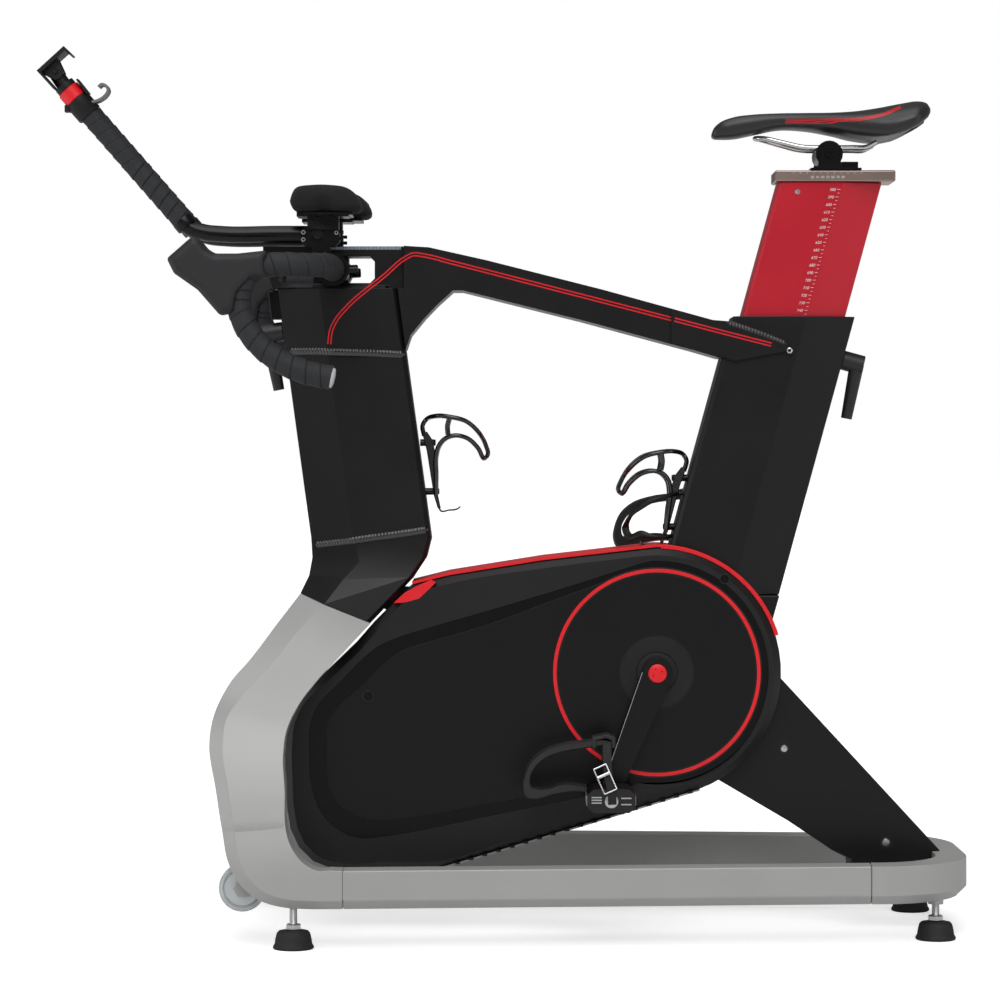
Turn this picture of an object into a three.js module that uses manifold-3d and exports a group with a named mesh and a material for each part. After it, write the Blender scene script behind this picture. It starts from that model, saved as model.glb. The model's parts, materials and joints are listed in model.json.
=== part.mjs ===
// Indoor spin bike, in millimetres. +Z is up, +X runs to the rear and -Y is the rider's left side.
// Side-view places are measured from the crank axle (x) and from the floor (z).
import * as THREE from 'three';
import { mergeVertices } from 'three/addons/utils/BufferGeometryUtils.js';
import Module from 'manifold-3d';

const wasm = await Module();
wasm.setup();

// Fits
const JOIN_GAP = 0.3;          // between pieces that touch
const SLIDE_GAP = 0.5;         // round a sliding post
const RUN_GAP = 0.2;           // round a turning shaft

// Base frame
const BASE_BOTTOM = 51;
const BASE_HEIGHT = 50;
const BASE_TUBE_WIDTH = 40;
const BASE_BEVEL = 12;
const BASE_FRONT_HALF = 235;   // to the outer face, where the legs end
const BASE_REAR_HALF = 190;    // to the outer face, where the rear loop starts
const BASE_FRONT_X = -405;
const BASE_BEND_X = 270;
const BASE_REAR_X = 406;
const BASE_LOOP_RADIUS = 110;

// Column and head at the front
const COLUMN_LEAN = 0.137;     // forward run for each unit of rise
const COLUMN_X = -411;         // middle of the column at COLUMN_Z
const COLUMN_Z = 765;
const COLUMN_TOP = 846;
const COLUMN_BOTTOM = 515;
const COLUMN_DEPTH = 160;
const COLUMN_HALF = 40;
const COLUMN_NOSE_HALF = 14;
const COLUMN_WALL = 9;
const TUBE_WALL = 4;           // of every hollow frame piece
const HEAD_HALF = 26;
const HEAD_TOP = 902;
const SLOT_LOW = 853.5;
const SLOT_HIGH = 888.5;
const HEAD_FRONT_X = -520;
const STEM_INSERTION = 245;

// Seat tube and post
const SEAT_LEAN = 0.2736;      // rearward run for each unit of rise
const SEAT_X = 183.5;          // middle of the tube at its top
const SEAT_TUBE_TOP = 809;
const SEAT_TUBE_BOTTOM = 440;  // clear of the drive pulley
const SEAT_TUBE_DEPTH = 163;
const SEAT_TUBE_HALF = 40;
const POST_DEPTH = 138;
const POST_HALF = 32;
const POST_TOP = 987;
const POST_INSERTION = 219;
const PLATE_THICKNESS = 15;

// Crankset and covers
const CRANK_Z = 340;
const CRANK_LENGTH = 170;
const CRANK_ANGLE = 21.8;      // left arm from straight down, towards the front, in degrees
const CRANK_INNER = 68;
const CRANK_THICKNESS = 16;
const SPINDLE_RADIUS = 12;
const PEDAL_AXLE_RADIUS = 7;
const PEDAL_WIDTH = 84;
const PEDAL_LENGTH = 62;
const PEDAL_HEIGHT = 30;
const TOE_BAND_WIDTH = 34;
const STRAP_THICKNESS = 2.7;
const COVER_HALF = 64;
const COVER_WALL = 3;
const COVER_BEVEL = 10;
const COVER_RADIUS = 164;

// Flywheel and belt
const FLYWHEEL_X = -290;
const FLYWHEEL_Z = 265;
const FLYWHEEL_RADIUS = 142;
const FLYWHEEL_HALF = 11;
const AXLE_RADIUS = 8;
const DRIVE_PULLEY_RADIUS = 92;
const FLYWHEEL_PULLEY_RADIUS = 21.5;
const BELT_Y = 40;
const BELT_WIDTH = 12;
const BELT_THICKNESS = 3;

// Handlebar, hoods and aero bars
const BAR_X = -426;
const BAR_Z = 868;
const BAR_RADIUS = 15.5;
const BAR_HALF_WIDTH = 205;
const HOOD_HALF = 21;
const BUTTON_RADIUS = 6;
const AERO_Y = 45;
const AERO_Z = 917;
const AERO_RADIUS = 11;
const AERO_TAPED_RADIUS = 14.5;
const PAD_Y = 60;
const PAD_WIDTH = 88;
const TABLE_TOP = 943.5;
const RIGHT_PAD_SETBACK = 8;     // the right pad is set further back on its table

// Saddle
const CLAMP_X = 230;
const CLAMP_Z = 1024;
const CLAMP_RADIUS = 18;
const RAIL_RADIUS = 3.5;
const RAIL_Y = 22;

// Feet and transport wheels
const FOOT_RADIUS = 26;
const FOOT_HEIGHT = 24;
const STEM_RADIUS = 4;
const FRONT_FOOT_X = -468;
const REAR_FOOT_X = 357;
const REAR_FOOT_Y = 134.5;
const WHEEL_RADIUS = 30;
const WHEEL_WIDTH = 24;
const WHEEL_X = -535;
const WHEEL_Z = 73;

const bike = new THREE.Group();

// ---------- solids ----------

function point(x, y, z) {
  return new THREE.Vector3(x, y, z);
}

// A closed triangle mesh turned into a solid with its faces pointing out.
function solid(geometry) {
  const bare = geometry.clone();
  bare.deleteAttribute('normal');
  bare.deleteAttribute('uv');
  const merged = mergeVertices(bare, 1e-3);
  const vertProperties = new Float32Array(merged.attributes.position.array);
  const corners = (vertex) => point(...vertProperties.slice(vertex * 3, vertex * 3 + 3));
  let triangles = [];
  for (let i = 0; i < merged.index.count; i += 3) {
    const triangle = [0, 1, 2].map((k) => merged.index.getX(i + k));
    if (new Set(triangle).size === 3) triangles.push(triangle);
  }
  const volume = triangles.reduce((sum, [a, b, c]) => sum + corners(a).dot(corners(b).cross(corners(c))), 0);
  if (volume < 0) triangles = triangles.map(([a, b, c]) => [a, c, b]);
  const triVerts = new Uint32Array(triangles.flat());
  return new wasm.Manifold(new wasm.Mesh({ numProp: 3, vertProperties, triVerts }));
}

function union(...bodies) {
  return bodies.reduce((whole, body) => whole.add(body));
}

function cut(body, ...tools) {
  return tools.reduce((rest, tool) => rest.subtract(tool), body);
}

// Skin through rings that all have the same number of points, closed by a face at each end.
function loft(rings) {
  const count = rings[0].length;
  const positions = rings.flat().flatMap((p) => [p.x, p.y, p.z]);
  const index = [];
  for (let i = 0; i + 1 < rings.length; i += 1) {
    for (let j = 0; j < count; j += 1) {
      const a = i * count + j;
      const b = i * count + ((j + 1) % count);
      index.push(a, b, b + count, a, b + count, a + count);
    }
  }
  const last = (rings.length - 1) * count;
  for (const [a, b, c] of capTriangles(rings[0])) index.push(a, c, b);
  for (const [a, b, c] of capTriangles(rings[rings.length - 1])) index.push(last + a, last + b, last + c);
  const geometry = new THREE.BufferGeometry();
  geometry.setAttribute('position', new THREE.Float32BufferAttribute(positions, 3));
  geometry.setIndex(index);
  return solid(geometry);
}

function ringNormal(ring) {
  const middle = ring.reduce((sum, p) => sum.add(p), new THREE.Vector3()).divideScalar(ring.length);
  const arms = ring.map((p) => p.clone().sub(middle));
  return arms.reduce((sum, arm, i) => sum.add(arm.clone().cross(arms[(i + 1) % arms.length])), new THREE.Vector3())
    .normalize();
}

// Triangles that fill a flat ring, wound as the ring runs.
function capTriangles(ring) {
  const normal = ringNormal(ring);
  const across = ring[1].clone().sub(ring[0]).normalize();
  const up = normal.clone().cross(across);
  const flat = ring.map((p) => new THREE.Vector2(p.dot(across), p.dot(up)));
  return THREE.ShapeUtils.triangulateShape(flat, []);
}

// A side-view outline, a list of [x, z], as a slab from y = from to y = to.
function slab(outline, from, to) {
  return loft([from, to].map((y) => sideRing(outline, y)));
}

function block(x0, x1, y0, y1, z0, z1) {
  return slab([[x0, z0], [x1, z0], [x1, z1], [x0, z1]], y0, y1);
}

// Points of an arc in the side view, from one angle to another in degrees, 0 towards +X, 90 up.
function arc(x, z, radius, start, end, steps) {
  return Array.from({ length: steps + 1 }, (_, i) => {
    const angle = THREE.MathUtils.degToRad(start + ((end - start) * i) / steps);
    return [x + radius * Math.cos(angle), z + radius * Math.sin(angle)];
  });
}

function discOutline(x, z, radius, sides = 20) {
  return arc(x, z, radius, 0, 360, sides).slice(1);
}

// A cylinder along Y.
function crossRod(x, z, radius, from, to, sides = 20) {
  return slab(discOutline(x, z, radius, sides), from, to);
}

// A solid of revolution about Y: profile is a list of [radius, y].
function turned(x, z, profile, sides = 24) {
  const lathe = new THREE.LatheGeometry(profile.map(([r, y]) => new THREE.Vector2(r, y)), sides);
  lathe.translate(x, 0, z);
  return solid(lathe);
}

// A cylinder between two points.
function rod(start, end, radius, sides = 16, endRadius = radius) {
  const along = end.clone().sub(start);
  const geometry = new THREE.CylinderGeometry(endRadius, radius, along.length(), sides);
  const turn = new THREE.Quaternion().setFromUnitVectors(point(0, 1, 0), along.clone().normalize());
  geometry.applyQuaternion(turn);
  geometry.translate(...start.clone().add(end).multiplyScalar(0.5).toArray());
  return solid(geometry);
}

// A round bar along a curve.
function bar(points, radius, sides, steps, closed = false) {
  const curve = new THREE.CatmullRomCurve3(points, closed, 'centripetal');
  const section = new THREE.Shape();
  for (let i = 0; i < sides; i += 1) {
    const angle = (2 * Math.PI * i) / sides;
    const place = [radius * Math.cos(angle), radius * Math.sin(angle)];
    if (i === 0) section.moveTo(...place);
    else section.lineTo(...place);
  }
  return solid(new THREE.ExtrudeGeometry(section, { steps, extrudePath: curve }));
}

// Ring moved inwards by a distance (outwards when negative), corner by corner.
function shrink(ring, distance) {
  const normal = ringNormal(ring);
  return ring.map((p, i) => {
    const before = p.clone().sub(ring[(i + ring.length - 1) % ring.length]).normalize();
    const after = ring[(i + 1) % ring.length].clone().sub(p).normalize();
    const inward = normal.clone().cross(before).normalize();
    const bisector = inward.clone().add(normal.clone().cross(after).normalize()).normalize();
    return p.clone().addScaledVector(bisector, distance / Math.max(0.4, bisector.dot(inward)));
  });
}

function sideRing(outline, y) {
  return outline.map(([x, z]) => point(x, y, z));
}

function inset(outline, distance) {
  return shrink(sideRing(outline, 0), distance).map((p) => [p.x, p.z]);
}

function material(color, roughness, metalness) {
  return new THREE.MeshStandardMaterial({ color, roughness, metalness });
}

const silverPaint = material(0xa6a6a4, 0.45, 0.3);
const blackPaint = material(0x151515, 0.4, 0.2);
const blackPlastic = material(0x1c1b1d, 0.5, 0);
const redPaint = material(0xc82030, 0.35, 0.2);
const redPlastic = material(0xe8111f, 0.4, 0);
const steel = material(0xb8b8b8, 0.3, 0.9);
const plateMetal = material(0x9d8f86, 0.35, 0.8);
const rubber = material(0x202022, 0.8, 0);
const clearWheel = material(0xdfe3e6, 0.2, 0);
const castIron = material(0x4a4c50, 0.5, 0.8);

function add(name, body, look) {
  const found = body.getMesh();
  const geometry = new THREE.BufferGeometry();
  geometry.setAttribute('position', new THREE.BufferAttribute(found.vertProperties, 3));
  geometry.setIndex(new THREE.BufferAttribute(found.triVerts, 1));
  geometry.computeVertexNormals();
  const mesh = new THREE.Mesh(geometry, look);
  mesh.name = name;
  bike.add(mesh);
  return mesh;
}

// The mirror image, on the right side, of a left-side body.
function addMirrored(name, body, look) {
  const mesh = add(name, body, look);
  const corners = mesh.geometry.index.array;
  mesh.geometry.scale(1, -1, 1);
  for (let i = 0; i < corners.length; i += 3) [corners[i], corners[i + 1]] = [corners[i + 1], corners[i]];
  mesh.geometry.computeVertexNormals();
  return mesh;
}

function addPair(name, body, look) {
  add(`${name}_left`, body, look);
  addMirrored(`${name}_right`, body, look);
}

// ---------- shared places ----------

function columnX(z) {
  return COLUMN_X - (z - COLUMN_Z) * COLUMN_LEAN;
}

function seatX(z) {
  return SEAT_X + (z - SEAT_TUBE_TOP) * SEAT_LEAN;
}

// Level section of a leaning tube: its front and rear taper towards narrow edges.
function levelSection({ x, z, depth, half, frontTaper, frontHalf, rearTaper, rearHalf }) {
  const front = x - depth / 2;
  const rear = x + depth / 2;
  const near = [[front, frontHalf], [front + frontTaper, half], [rear - rearTaper, half], [rear, rearHalf]];
  const far = near.slice().reverse().map(([px, py]) => [px, -py]);
  return near.concat(far).map(([px, py]) => point(px, py, z));
}

function columnRing(z, wall = 0) {
  return levelSection({
    x: columnX(z),
    z,
    depth: COLUMN_DEPTH - 2 * wall,
    half: COLUMN_HALF - wall,
    frontTaper: 0.36 * COLUMN_DEPTH - wall,
    frontHalf: COLUMN_NOSE_HALF - wall / 2,
    rearTaper: 6,
    rearHalf: COLUMN_HALF - wall - 6,
  });
}

function seatTubeRing(z, grow = 0) {
  return levelSection({
    x: seatX(z),
    z,
    depth: SEAT_TUBE_DEPTH + 2 * grow,
    half: SEAT_TUBE_HALF + grow,
    frontTaper: 6,
    frontHalf: SEAT_TUBE_HALF + grow - 6,
    rearTaper: 0.4 * SEAT_TUBE_DEPTH,
    rearHalf: SEAT_TUBE_HALF - 22 + grow,
  });
}

function postRing(z, grow = 0) {
  return levelSection({
    x: seatX(z),
    z,
    depth: POST_DEPTH + 2 * grow,
    half: POST_HALF + grow,
    frontTaper: 5,
    frontHalf: POST_HALF + grow - 5,
    rearTaper: 0.38 * POST_DEPTH,
    rearHalf: POST_HALF - 18 + grow,
  });
}

// ---------- welded frame ----------

// The space inside a tube of the given rings: at an end that opens, it runs on past the last ring.
function hollowOf(rings, [firstOpens, lastOpens]) {
  const inner = rings.map((ring) => shrink(ring, TUBE_WALL));
  const past = (ring, beside) => {
    const step = ring[0].clone().sub(beside[0]).normalize();
    return ring.map((p) => p.clone().add(step));
  };
  if (firstOpens) inner.unshift(past(inner[0], inner[1]));
  if (lastOpens) inner.push(past(inner[inner.length - 1], inner[inner.length - 2]));
  return loft(inner);
}

// One ring of the neck: front edge, crease and rear edge in the side view, and half widths there.
function neckRing([fx, fz], [cx, cz], [rx, rz], frontHalf, half) {
  const rear = new THREE.Vector2(rx, rz);
  const [sx, sz] = new THREE.Vector2(cx, cz).sub(rear).setLength(6).add(rear).toArray();
  const near = [point(fx, frontHalf, fz), point(cx, half, cz), point(sx, half, sz), point(rx, half - 6, rz)];
  const far = near.slice().reverse().map((p) => point(p.x, -p.y, p.z));
  return near.concat(far);
}

// Where the neck ends and the legs start, a slanting plane: front edge, crease and rear edge.
function neckFoot(drop) {
  const [front, rear] = [new THREE.Vector2(-470, 443), new THREE.Vector2(-376, 405)];
  const square = rear.clone().sub(front).normalize().rotateAround(new THREE.Vector2(), -Math.PI / 2);
  return [0, 0.35, 1].map((share) => front.clone().lerp(rear, share).addScaledVector(square, drop).toArray());
}

function makeFrontColumn() {
  const outer = loft([
    columnRing(COLUMN_TOP),
    columnRing(COLUMN_BOTTOM),
    neckRing([-455, 490], [-392, 484], [-303, 490], 18, 42),
    neckRing([-459, 466], [-412, 462], [-320, 464], 24, 48),
    neckRing(...neckFoot(0), 30, 62),
  ]);
  const bore = loft([
    columnRing(COLUMN_TOP + 5, COLUMN_WALL),
    columnRing(COLUMN_BOTTOM + 10, COLUMN_WALL),
    shrink(neckRing([-455, 490], [-392, 484], [-303, 490], 18, 42), COLUMN_WALL),
    shrink(neckRing([-459, 466], [-412, 462], [-320, 464], 24, 48), COLUMN_WALL),
  ]);
  return cut(outer, bore);
}

// One ring of the left leg: bevelled outer front edge, flat outer side, flat inner side.
function legRing([fx, fz], [cx, cz], [rx, rz], outer, inner, bevel) {
  return [
    point(rx, -outer, rz),
    point(cx, -outer, cz),
    point(fx, -outer + bevel, fz),
    point(fx, -inner, fz),
    point(rx, -inner, rz),
  ];
}

function makeLeg() {
  const outer = BASE_FRONT_HALF;
  const inner = outer - BASE_TUBE_WIDTH;
  const top = BASE_BOTTOM + BASE_HEIGHT;
  const rings = [
    legRing(...neckFoot(JOIN_GAP + 0.2), 62, 0.5, 32),
    legRing([-498, 405], [-470, 395], [-401, 378], 0.39 * outer, 30, 28),
    legRing([-530, 361], [-505, 350], [-442, 334], 0.55 * outer, 0.385 * inner, 20),
    legRing([-557, 328], [-538, 315], [-466, 302], 0.67 * outer, 0.555 * inner, 20),
    legRing([-574, 290], [-557, 285], [-479, 272], 0.766 * outer, 0.685 * inner, 18),
    legRing([-578, 255], [-560, 250], [-482, 243], 0.83 * outer, 0.78 * inner, 16),
    legRing([-568, 199], [-551, 199], [-479, 199], 0.902 * outer, 0.877 * inner, 14),
    legRing([-559, 150], [-543, 150], [-477, 152], 0.953 * outer, 0.944 * inner, 12),
    legRing([-550, 108], [-536, 114], [-468, 127], 0.983 * outer, 0.98 * inner, 12),
    legRing([-535, 81], [-523, 91], [-455, 111], 0.996 * outer, 0.995 * inner, BASE_BEVEL),
    legRing([-511, 62], [-503, 74], [-437, 100], outer, inner, BASE_BEVEL),
    legRing([-480, 53], [-476, 65], [-420, top + 0.5], outer, inner, BASE_BEVEL),
    legRing([-450, BASE_BOTTOM], [-448, BASE_BOTTOM + BASE_BEVEL], [-413, top], outer, inner, BASE_BEVEL),
    legRing(
      [BASE_FRONT_X, BASE_BOTTOM], [BASE_FRONT_X, BASE_BOTTOM + BASE_BEVEL], [BASE_FRONT_X, top],
      outer, inner, BASE_BEVEL,
    ),
  ];
  const body = cut(loft(rings), hollowOf(rings.slice(1), [0, 1]));
  const footY = outer - BASE_TUBE_WIDTH / 2;
  const lug = slab(
    [...arc(WHEEL_X, WHEEL_Z, 11, 90, 270, 10), [-505, WHEEL_Z - 5], [-500, WHEEL_Z + 15]],
    -inner + 3, -inner - 2,
  );
  const wheelPin = crossRod(WHEEL_X, WHEEL_Z, 5, -inner, -inner + 5 + WHEEL_WIDTH, 20);
  return cut(union(body, lug, wheelPin, footBoss(FRONT_FOOT_X, -footY)), footHole(FRONT_FOOT_X, -footY));
}

function footBoss(x, y) {
  return rod(point(x, y, BASE_BOTTOM - 5), point(x, y, BASE_BOTTOM + 4), 10, 20);
}

function footHole(x, y) {
  return rod(point(x, y, BASE_BOTTOM - 10), point(x, y, BASE_BOTTOM + 36), STEM_RADIUS + SLIDE_GAP, 20);
}

// Level-lying tube section at a place on the left side, with its outer bottom edge bevelled.
function baseRing(x, y, outX, outY) {
  const at = (reach, z) => point(x + outX * reach, y + outY * reach, z);
  const half = BASE_TUBE_WIDTH / 2;
  const top = BASE_BOTTOM + BASE_HEIGHT;
  return [
    at(half, top), at(half, BASE_BOTTOM + BASE_BEVEL), at(half - BASE_BEVEL, BASE_BOTTOM),
    at(-half, BASE_BOTTOM), at(-half, top),
  ];
}

const frontTubeY = BASE_FRONT_HALF - BASE_TUBE_WIDTH / 2;
const rearTubeY = BASE_REAR_HALF - BASE_TUBE_WIDTH / 2;
const baseAngle = Math.atan2(frontTubeY - rearTubeY, BASE_BEND_X - BASE_FRONT_X);

function makeBaseTube() {
  const outX = -Math.sin(baseAngle);
  const rings = [
    baseRing(BASE_FRONT_X + JOIN_GAP, -frontTubeY, 0, -1),
    baseRing(BASE_FRONT_X + 12, -frontTubeY + 12 * Math.tan(baseAngle), outX, -Math.cos(baseAngle)),
    baseRing(BASE_BEND_X - JOIN_GAP, -rearTubeY, outX, -Math.cos(baseAngle)),
  ];
  return cut(loft(rings), hollowOf(rings, [1, 1]));
}

// Plan-view places along the rounded rear corner on the left, from the side tube to the middle.
function loopPlaces() {
  const rearX = BASE_REAR_X - BASE_TUBE_WIDTH / 2;
  const turn = Math.PI / 2 - baseAngle;
  const radius = BASE_LOOP_RADIUS;
  const centreX = rearX - radius;
  const lead = (centreX - radius * Math.sin(baseAngle) - BASE_BEND_X) * Math.tan(baseAngle);
  const centreY = -rearTubeY + lead + radius * Math.cos(baseAngle);
  const places = [{ x: BASE_BEND_X + JOIN_GAP, y: -rearTubeY, angle: -Math.PI / 2 - baseAngle }];
  const steps = 10;
  for (let i = 0; i <= steps; i += 1) {
    const angle = -Math.PI / 2 - baseAngle + ((turn + 2 * baseAngle) * i) / steps;
    const x = centreX + radius * Math.cos(angle);
    if (x > BASE_BEND_X + 3) places.push({ x, y: centreY + radius * Math.sin(angle), angle });
  }
  return places;
}

function makeBaseLoop() {
  const left = loopPlaces().map(({ x, y, angle }) => baseRing(x, y, Math.cos(angle), Math.sin(angle)));
  const right = left.slice().reverse().map((ring) => ring.map((p) => point(p.x, -p.y, p.z)));
  const bosses = [-REAR_FOOT_Y, REAR_FOOT_Y];
  const rings = left.concat(right);
  const tube = cut(loft(rings), hollowOf(rings, [1, 1]));
  const body = union(tube, ...bosses.map((y) => footBoss(REAR_FOOT_X, y)));
  return cut(body, ...bosses.map((y) => footHole(REAR_FOOT_X, y)));
}

function makeSeatTube() {
  const tube = loft([seatTubeRing(SEAT_TUBE_TOP), seatTubeRing(SEAT_TUBE_BOTTOM)]);
  const bore = loft([postRing(SEAT_TUBE_TOP + 5, SLIDE_GAP), postRing(SEAT_TUBE_BOTTOM - 5, SLIDE_GAP)]);
  return cut(tube, bore);
}

// Side plate that carries the bottom bracket and reaches back and down to the base.
const STRUT_NOSE = -45;
const STRUT_HALF = 30;
const SHELL_RADIUS = 26;
const seatTubeFootFront = seatX(SEAT_TUBE_BOTTOM) - SEAT_TUBE_DEPTH / 2;
const seatTubeFootRear = seatX(SEAT_TUBE_BOTTOM) + SEAT_TUBE_DEPTH / 2;
const strutOutline = [
  [seatTubeFootFront, SEAT_TUBE_BOTTOM - JOIN_GAP], [STRUT_NOSE, CRANK_Z], [-30, 262], [176, 141], [234, 102],
  [259, 90], [259, 58], [BASE_REAR_X - BASE_TUBE_WIDTH - 0.6, 58],
  [BASE_REAR_X - BASE_TUBE_WIDTH - 0.6, BASE_BOTTOM + BASE_HEIGHT + 0.5],
  [BASE_REAR_X - 29, BASE_BOTTOM + BASE_HEIGHT + 0.5], [141, 357],
  [seatTubeFootRear, SEAT_TUBE_BOTTOM - JOIN_GAP],
];

function makeStrut() {
  const body = slab(strutOutline, -STRUT_HALF, STRUT_HALF);
  const innerHalf = STRUT_HALF - TUBE_WALL;
  const room = slab(inset(strutOutline, TUBE_WALL), -innerHalf, innerHalf);
  const mouth = block(20, 140, -innerHalf, innerHalf, SEAT_TUBE_BOTTOM - 12, SEAT_TUBE_BOTTOM + 1);
  const shell = crossRod(0, CRANK_Z, SHELL_RADIUS, -STRUT_HALF, STRUT_HALF);
  const bore = crossRod(0, CRANK_Z, SHELL_RADIUS - 5.7, -STRUT_HALF - 1, STRUT_HALF + 1);
  return cut(union(cut(body, room, mouth), shell), bore);
}

const topTubeOutline = [
  [-333.4, HEAD_TOP], [-333.4, COLUMN_TOP + 0.4], [-341.4, COLUMN_TOP + 0.4], [-330.4, 765], [-324, 784],
  [-306, 806], [-289, 824], [-268, 843], [-255, 843], [-99, 804], [50, 764], [84, 754],
  [seatX(754) - SEAT_TUBE_DEPTH / 2 - JOIN_GAP, 754], [seatX(802) - SEAT_TUBE_DEPTH / 2 - JOIN_GAP, 802],
  [75, 804], [-70, 844], [-224, 883], [-300, 900],
];

const topTubeRoom = [
  [-329, 896], [-329, 785], [-318, 792], [-302, 812], [-286, 829], [-268, 848], [-254, 848], [-98, 809],
  [51, 769], [75, 763], [80, 797], [-71, 839], [-225, 878], [-300, 895],
];

function makeTopTube() {
  const innerHalf = COLUMN_HALF - TUBE_WALL;
  const beam = cut(
    slab(topTubeOutline, -COLUMN_HALF, COLUMN_HALF),
    slab(topTubeRoom, -innerHalf, innerHalf),
    block(-350, -320, -innerHalf + 6, innerHalf - 6, 790, COLUMN_TOP - 8),
  );
  const cheekOutline = [[20, 817], [20, 774], [104, 750], [172, 763], [176, 770], [92, 799]];
  const cheek = slab(cheekOutline, -SEAT_TUBE_HALF - 6, SEAT_TUBE_HALF + 6);
  const seatHalf = SEAT_TUBE_HALF + JOIN_GAP;
  const seatSpace = block(60, 200, -seatHalf, seatHalf, 740, 830);
  const cheeks = cut(cheek, seatSpace, block(0, 61, 2 - COLUMN_HALF, COLUMN_HALF - 2, 740, 830));
  return union(beam, cheeks);
}

// Just in front of the strut's front edge.
function strutFrontX(z) {
  const share = (z - CRANK_Z) / (SEAT_TUBE_BOTTOM - CRANK_Z);
  return STRUT_NOSE + (seatTubeFootFront - STRUT_NOSE) * share - 2 * JOIN_GAP;
}

const HANGER_LEFT = -26;
const HANGER_RIGHT = BELT_Y + BELT_WIDTH / 2 + 8;

// Beam from the neck back to the strut, with the hanger plates of the flywheel and the brake's ear.
function makeSpine() {
  const beam = slab(
    [[-332.6, 450], [-360, 421.5], [-345, 416], [-180, 413], [strutFrontX(342), 342], [strutFrontX(412), 412],
      [-270, 448]],
    -18, 18,
  );
  const bridge = block(FLYWHEEL_X - 18, FLYWHEEL_X + 18, HANGER_LEFT, HANGER_RIGHT, 418, 440);
  const plateOutline = [
    ...arc(FLYWHEEL_X, FLYWHEEL_Z, 18, 180, 360, 12), [FLYWHEEL_X + 18, 440], [FLYWHEEL_X - 18, 440],
  ];
  const left = slab(plateOutline, HANGER_LEFT, HANGER_LEFT + 5);
  const right = slab(plateOutline, HANGER_RIGHT - 5, HANGER_RIGHT);
  const ear = slab([[-130, 385], [-124, 364], ...arc(BRAKE_X, BRAKE_Z, 11, 200, 340, 8), [-90, 372]], -9, 9);
  const pin = crossRod(BRAKE_X, BRAKE_Z, BRAKE_PIN_RADIUS, -22, 22, 20);
  const body = union(beam, bridge, left, right, ear, pin);
  return cut(body, crossRod(FLYWHEEL_X, FLYWHEEL_Z, AXLE_RADIUS + JOIN_GAP, -40, 70));
}

const BRAKE_X = -110;
const BRAKE_Z = 360;
const BRAKE_PIN_RADIUS = 5;

// Arm that swings the magnet shoes over both faces of the flywheel's rim.
function makeBrakeArm() {
  const outline = [
    ...arc(BRAKE_X, BRAKE_Z, 13, 60, -90, 8), [-150, 318], [-196, 268], [-216, 284], [-190, 330], [-140, 374],
  ];
  const plates = union(slab(outline, -20, -14.5), slab(outline, 14.5, 20));
  const bridge = block(-136, -122, -20, 20, 322, 338);
  const hole = crossRod(BRAKE_X, BRAKE_Z, BRAKE_PIN_RADIUS + RUN_GAP, -30, 30, 20);
  return cut(union(plates, bridge), hole);
}

// ---------- bottom bracket, cranks and pedals ----------

function makeBearing(sign) {
  const outer = sign * (STRUT_HALF - 1);
  const inner = sign * (STRUT_HALF - 13);
  const bore = SPINDLE_RADIUS + RUN_GAP;
  const race = SHELL_RADIUS - 6;
  return turned(0, CRANK_Z, [[bore, inner], [race, inner], [race, outer], [bore, outer], [bore, inner]]);
}

function makeSpindle() {
  const end = CRANK_INNER + CRANK_THICKNESS + 1;
  return crossRod(0, CRANK_Z, SPINDLE_RADIUS, -end, end);
}

function makeDrivePulley() {
  const low = BELT_Y - BELT_WIDTH / 2;
  const disc = crossRod(0, CRANK_Z, DRIVE_PULLEY_RADIUS, low, low + BELT_WIDTH, 48);
  const windows = [0, 1, 2, 3, 4].map((i) => {
    const angle = (2 * Math.PI * i) / 5;
    const reach = 0.58 * DRIVE_PULLEY_RADIUS;
    const centre = [reach * Math.cos(angle), CRANK_Z + reach * Math.sin(angle)];
    return crossRod(...centre, 0.24 * DRIVE_PULLEY_RADIUS, low - 1, low + BELT_WIDTH + 1, 14);
  });
  return cut(disc, ...windows, crossRod(0, CRANK_Z, SPINDLE_RADIUS + JOIN_GAP, low - 1, low + BELT_WIDTH + 1));
}

const crankAngle = THREE.MathUtils.degToRad(CRANK_ANGLE);
const pedalX = -CRANK_LENGTH * Math.sin(crankAngle);
const pedalDrop = -CRANK_LENGTH * Math.cos(crankAngle);

// Outline of two discs joined by their outer tangents, as a crank arm or a belt has.
function tangentOutline(x1, z1, r1, x2, z2, r2, steps) {
  const heading = Math.atan2(z2 - z1, x2 - x1);
  const spread = Math.acos((r1 - r2) / Math.hypot(x2 - x1, z2 - z1));
  const turn = THREE.MathUtils.radToDeg;
  return [
    ...arc(x1, z1, r1, turn(heading + spread), turn(heading - spread + 2 * Math.PI), steps),
    ...arc(x2, z2, r2, turn(heading - spread), turn(heading + spread), steps),
  ];
}

function makeCrank() {
  const outer = -CRANK_INNER - CRANK_THICKNESS;
  const outline = tangentOutline(0, CRANK_Z, 20, pedalX, CRANK_Z + pedalDrop, 12.5, 14);
  const arm = slab(outline, outer, -CRANK_INNER);
  return cut(
    arm,
    crossRod(0, CRANK_Z, SPINDLE_RADIUS + JOIN_GAP, outer - 1, -CRANK_INNER + 1),
    crossRod(pedalX, CRANK_Z + pedalDrop, PEDAL_AXLE_RADIUS + JOIN_GAP, outer - 1, -CRANK_INNER + 1, 20),
  );
}

const pedalInner = CRANK_INNER + CRANK_THICKNESS + 5;

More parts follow.
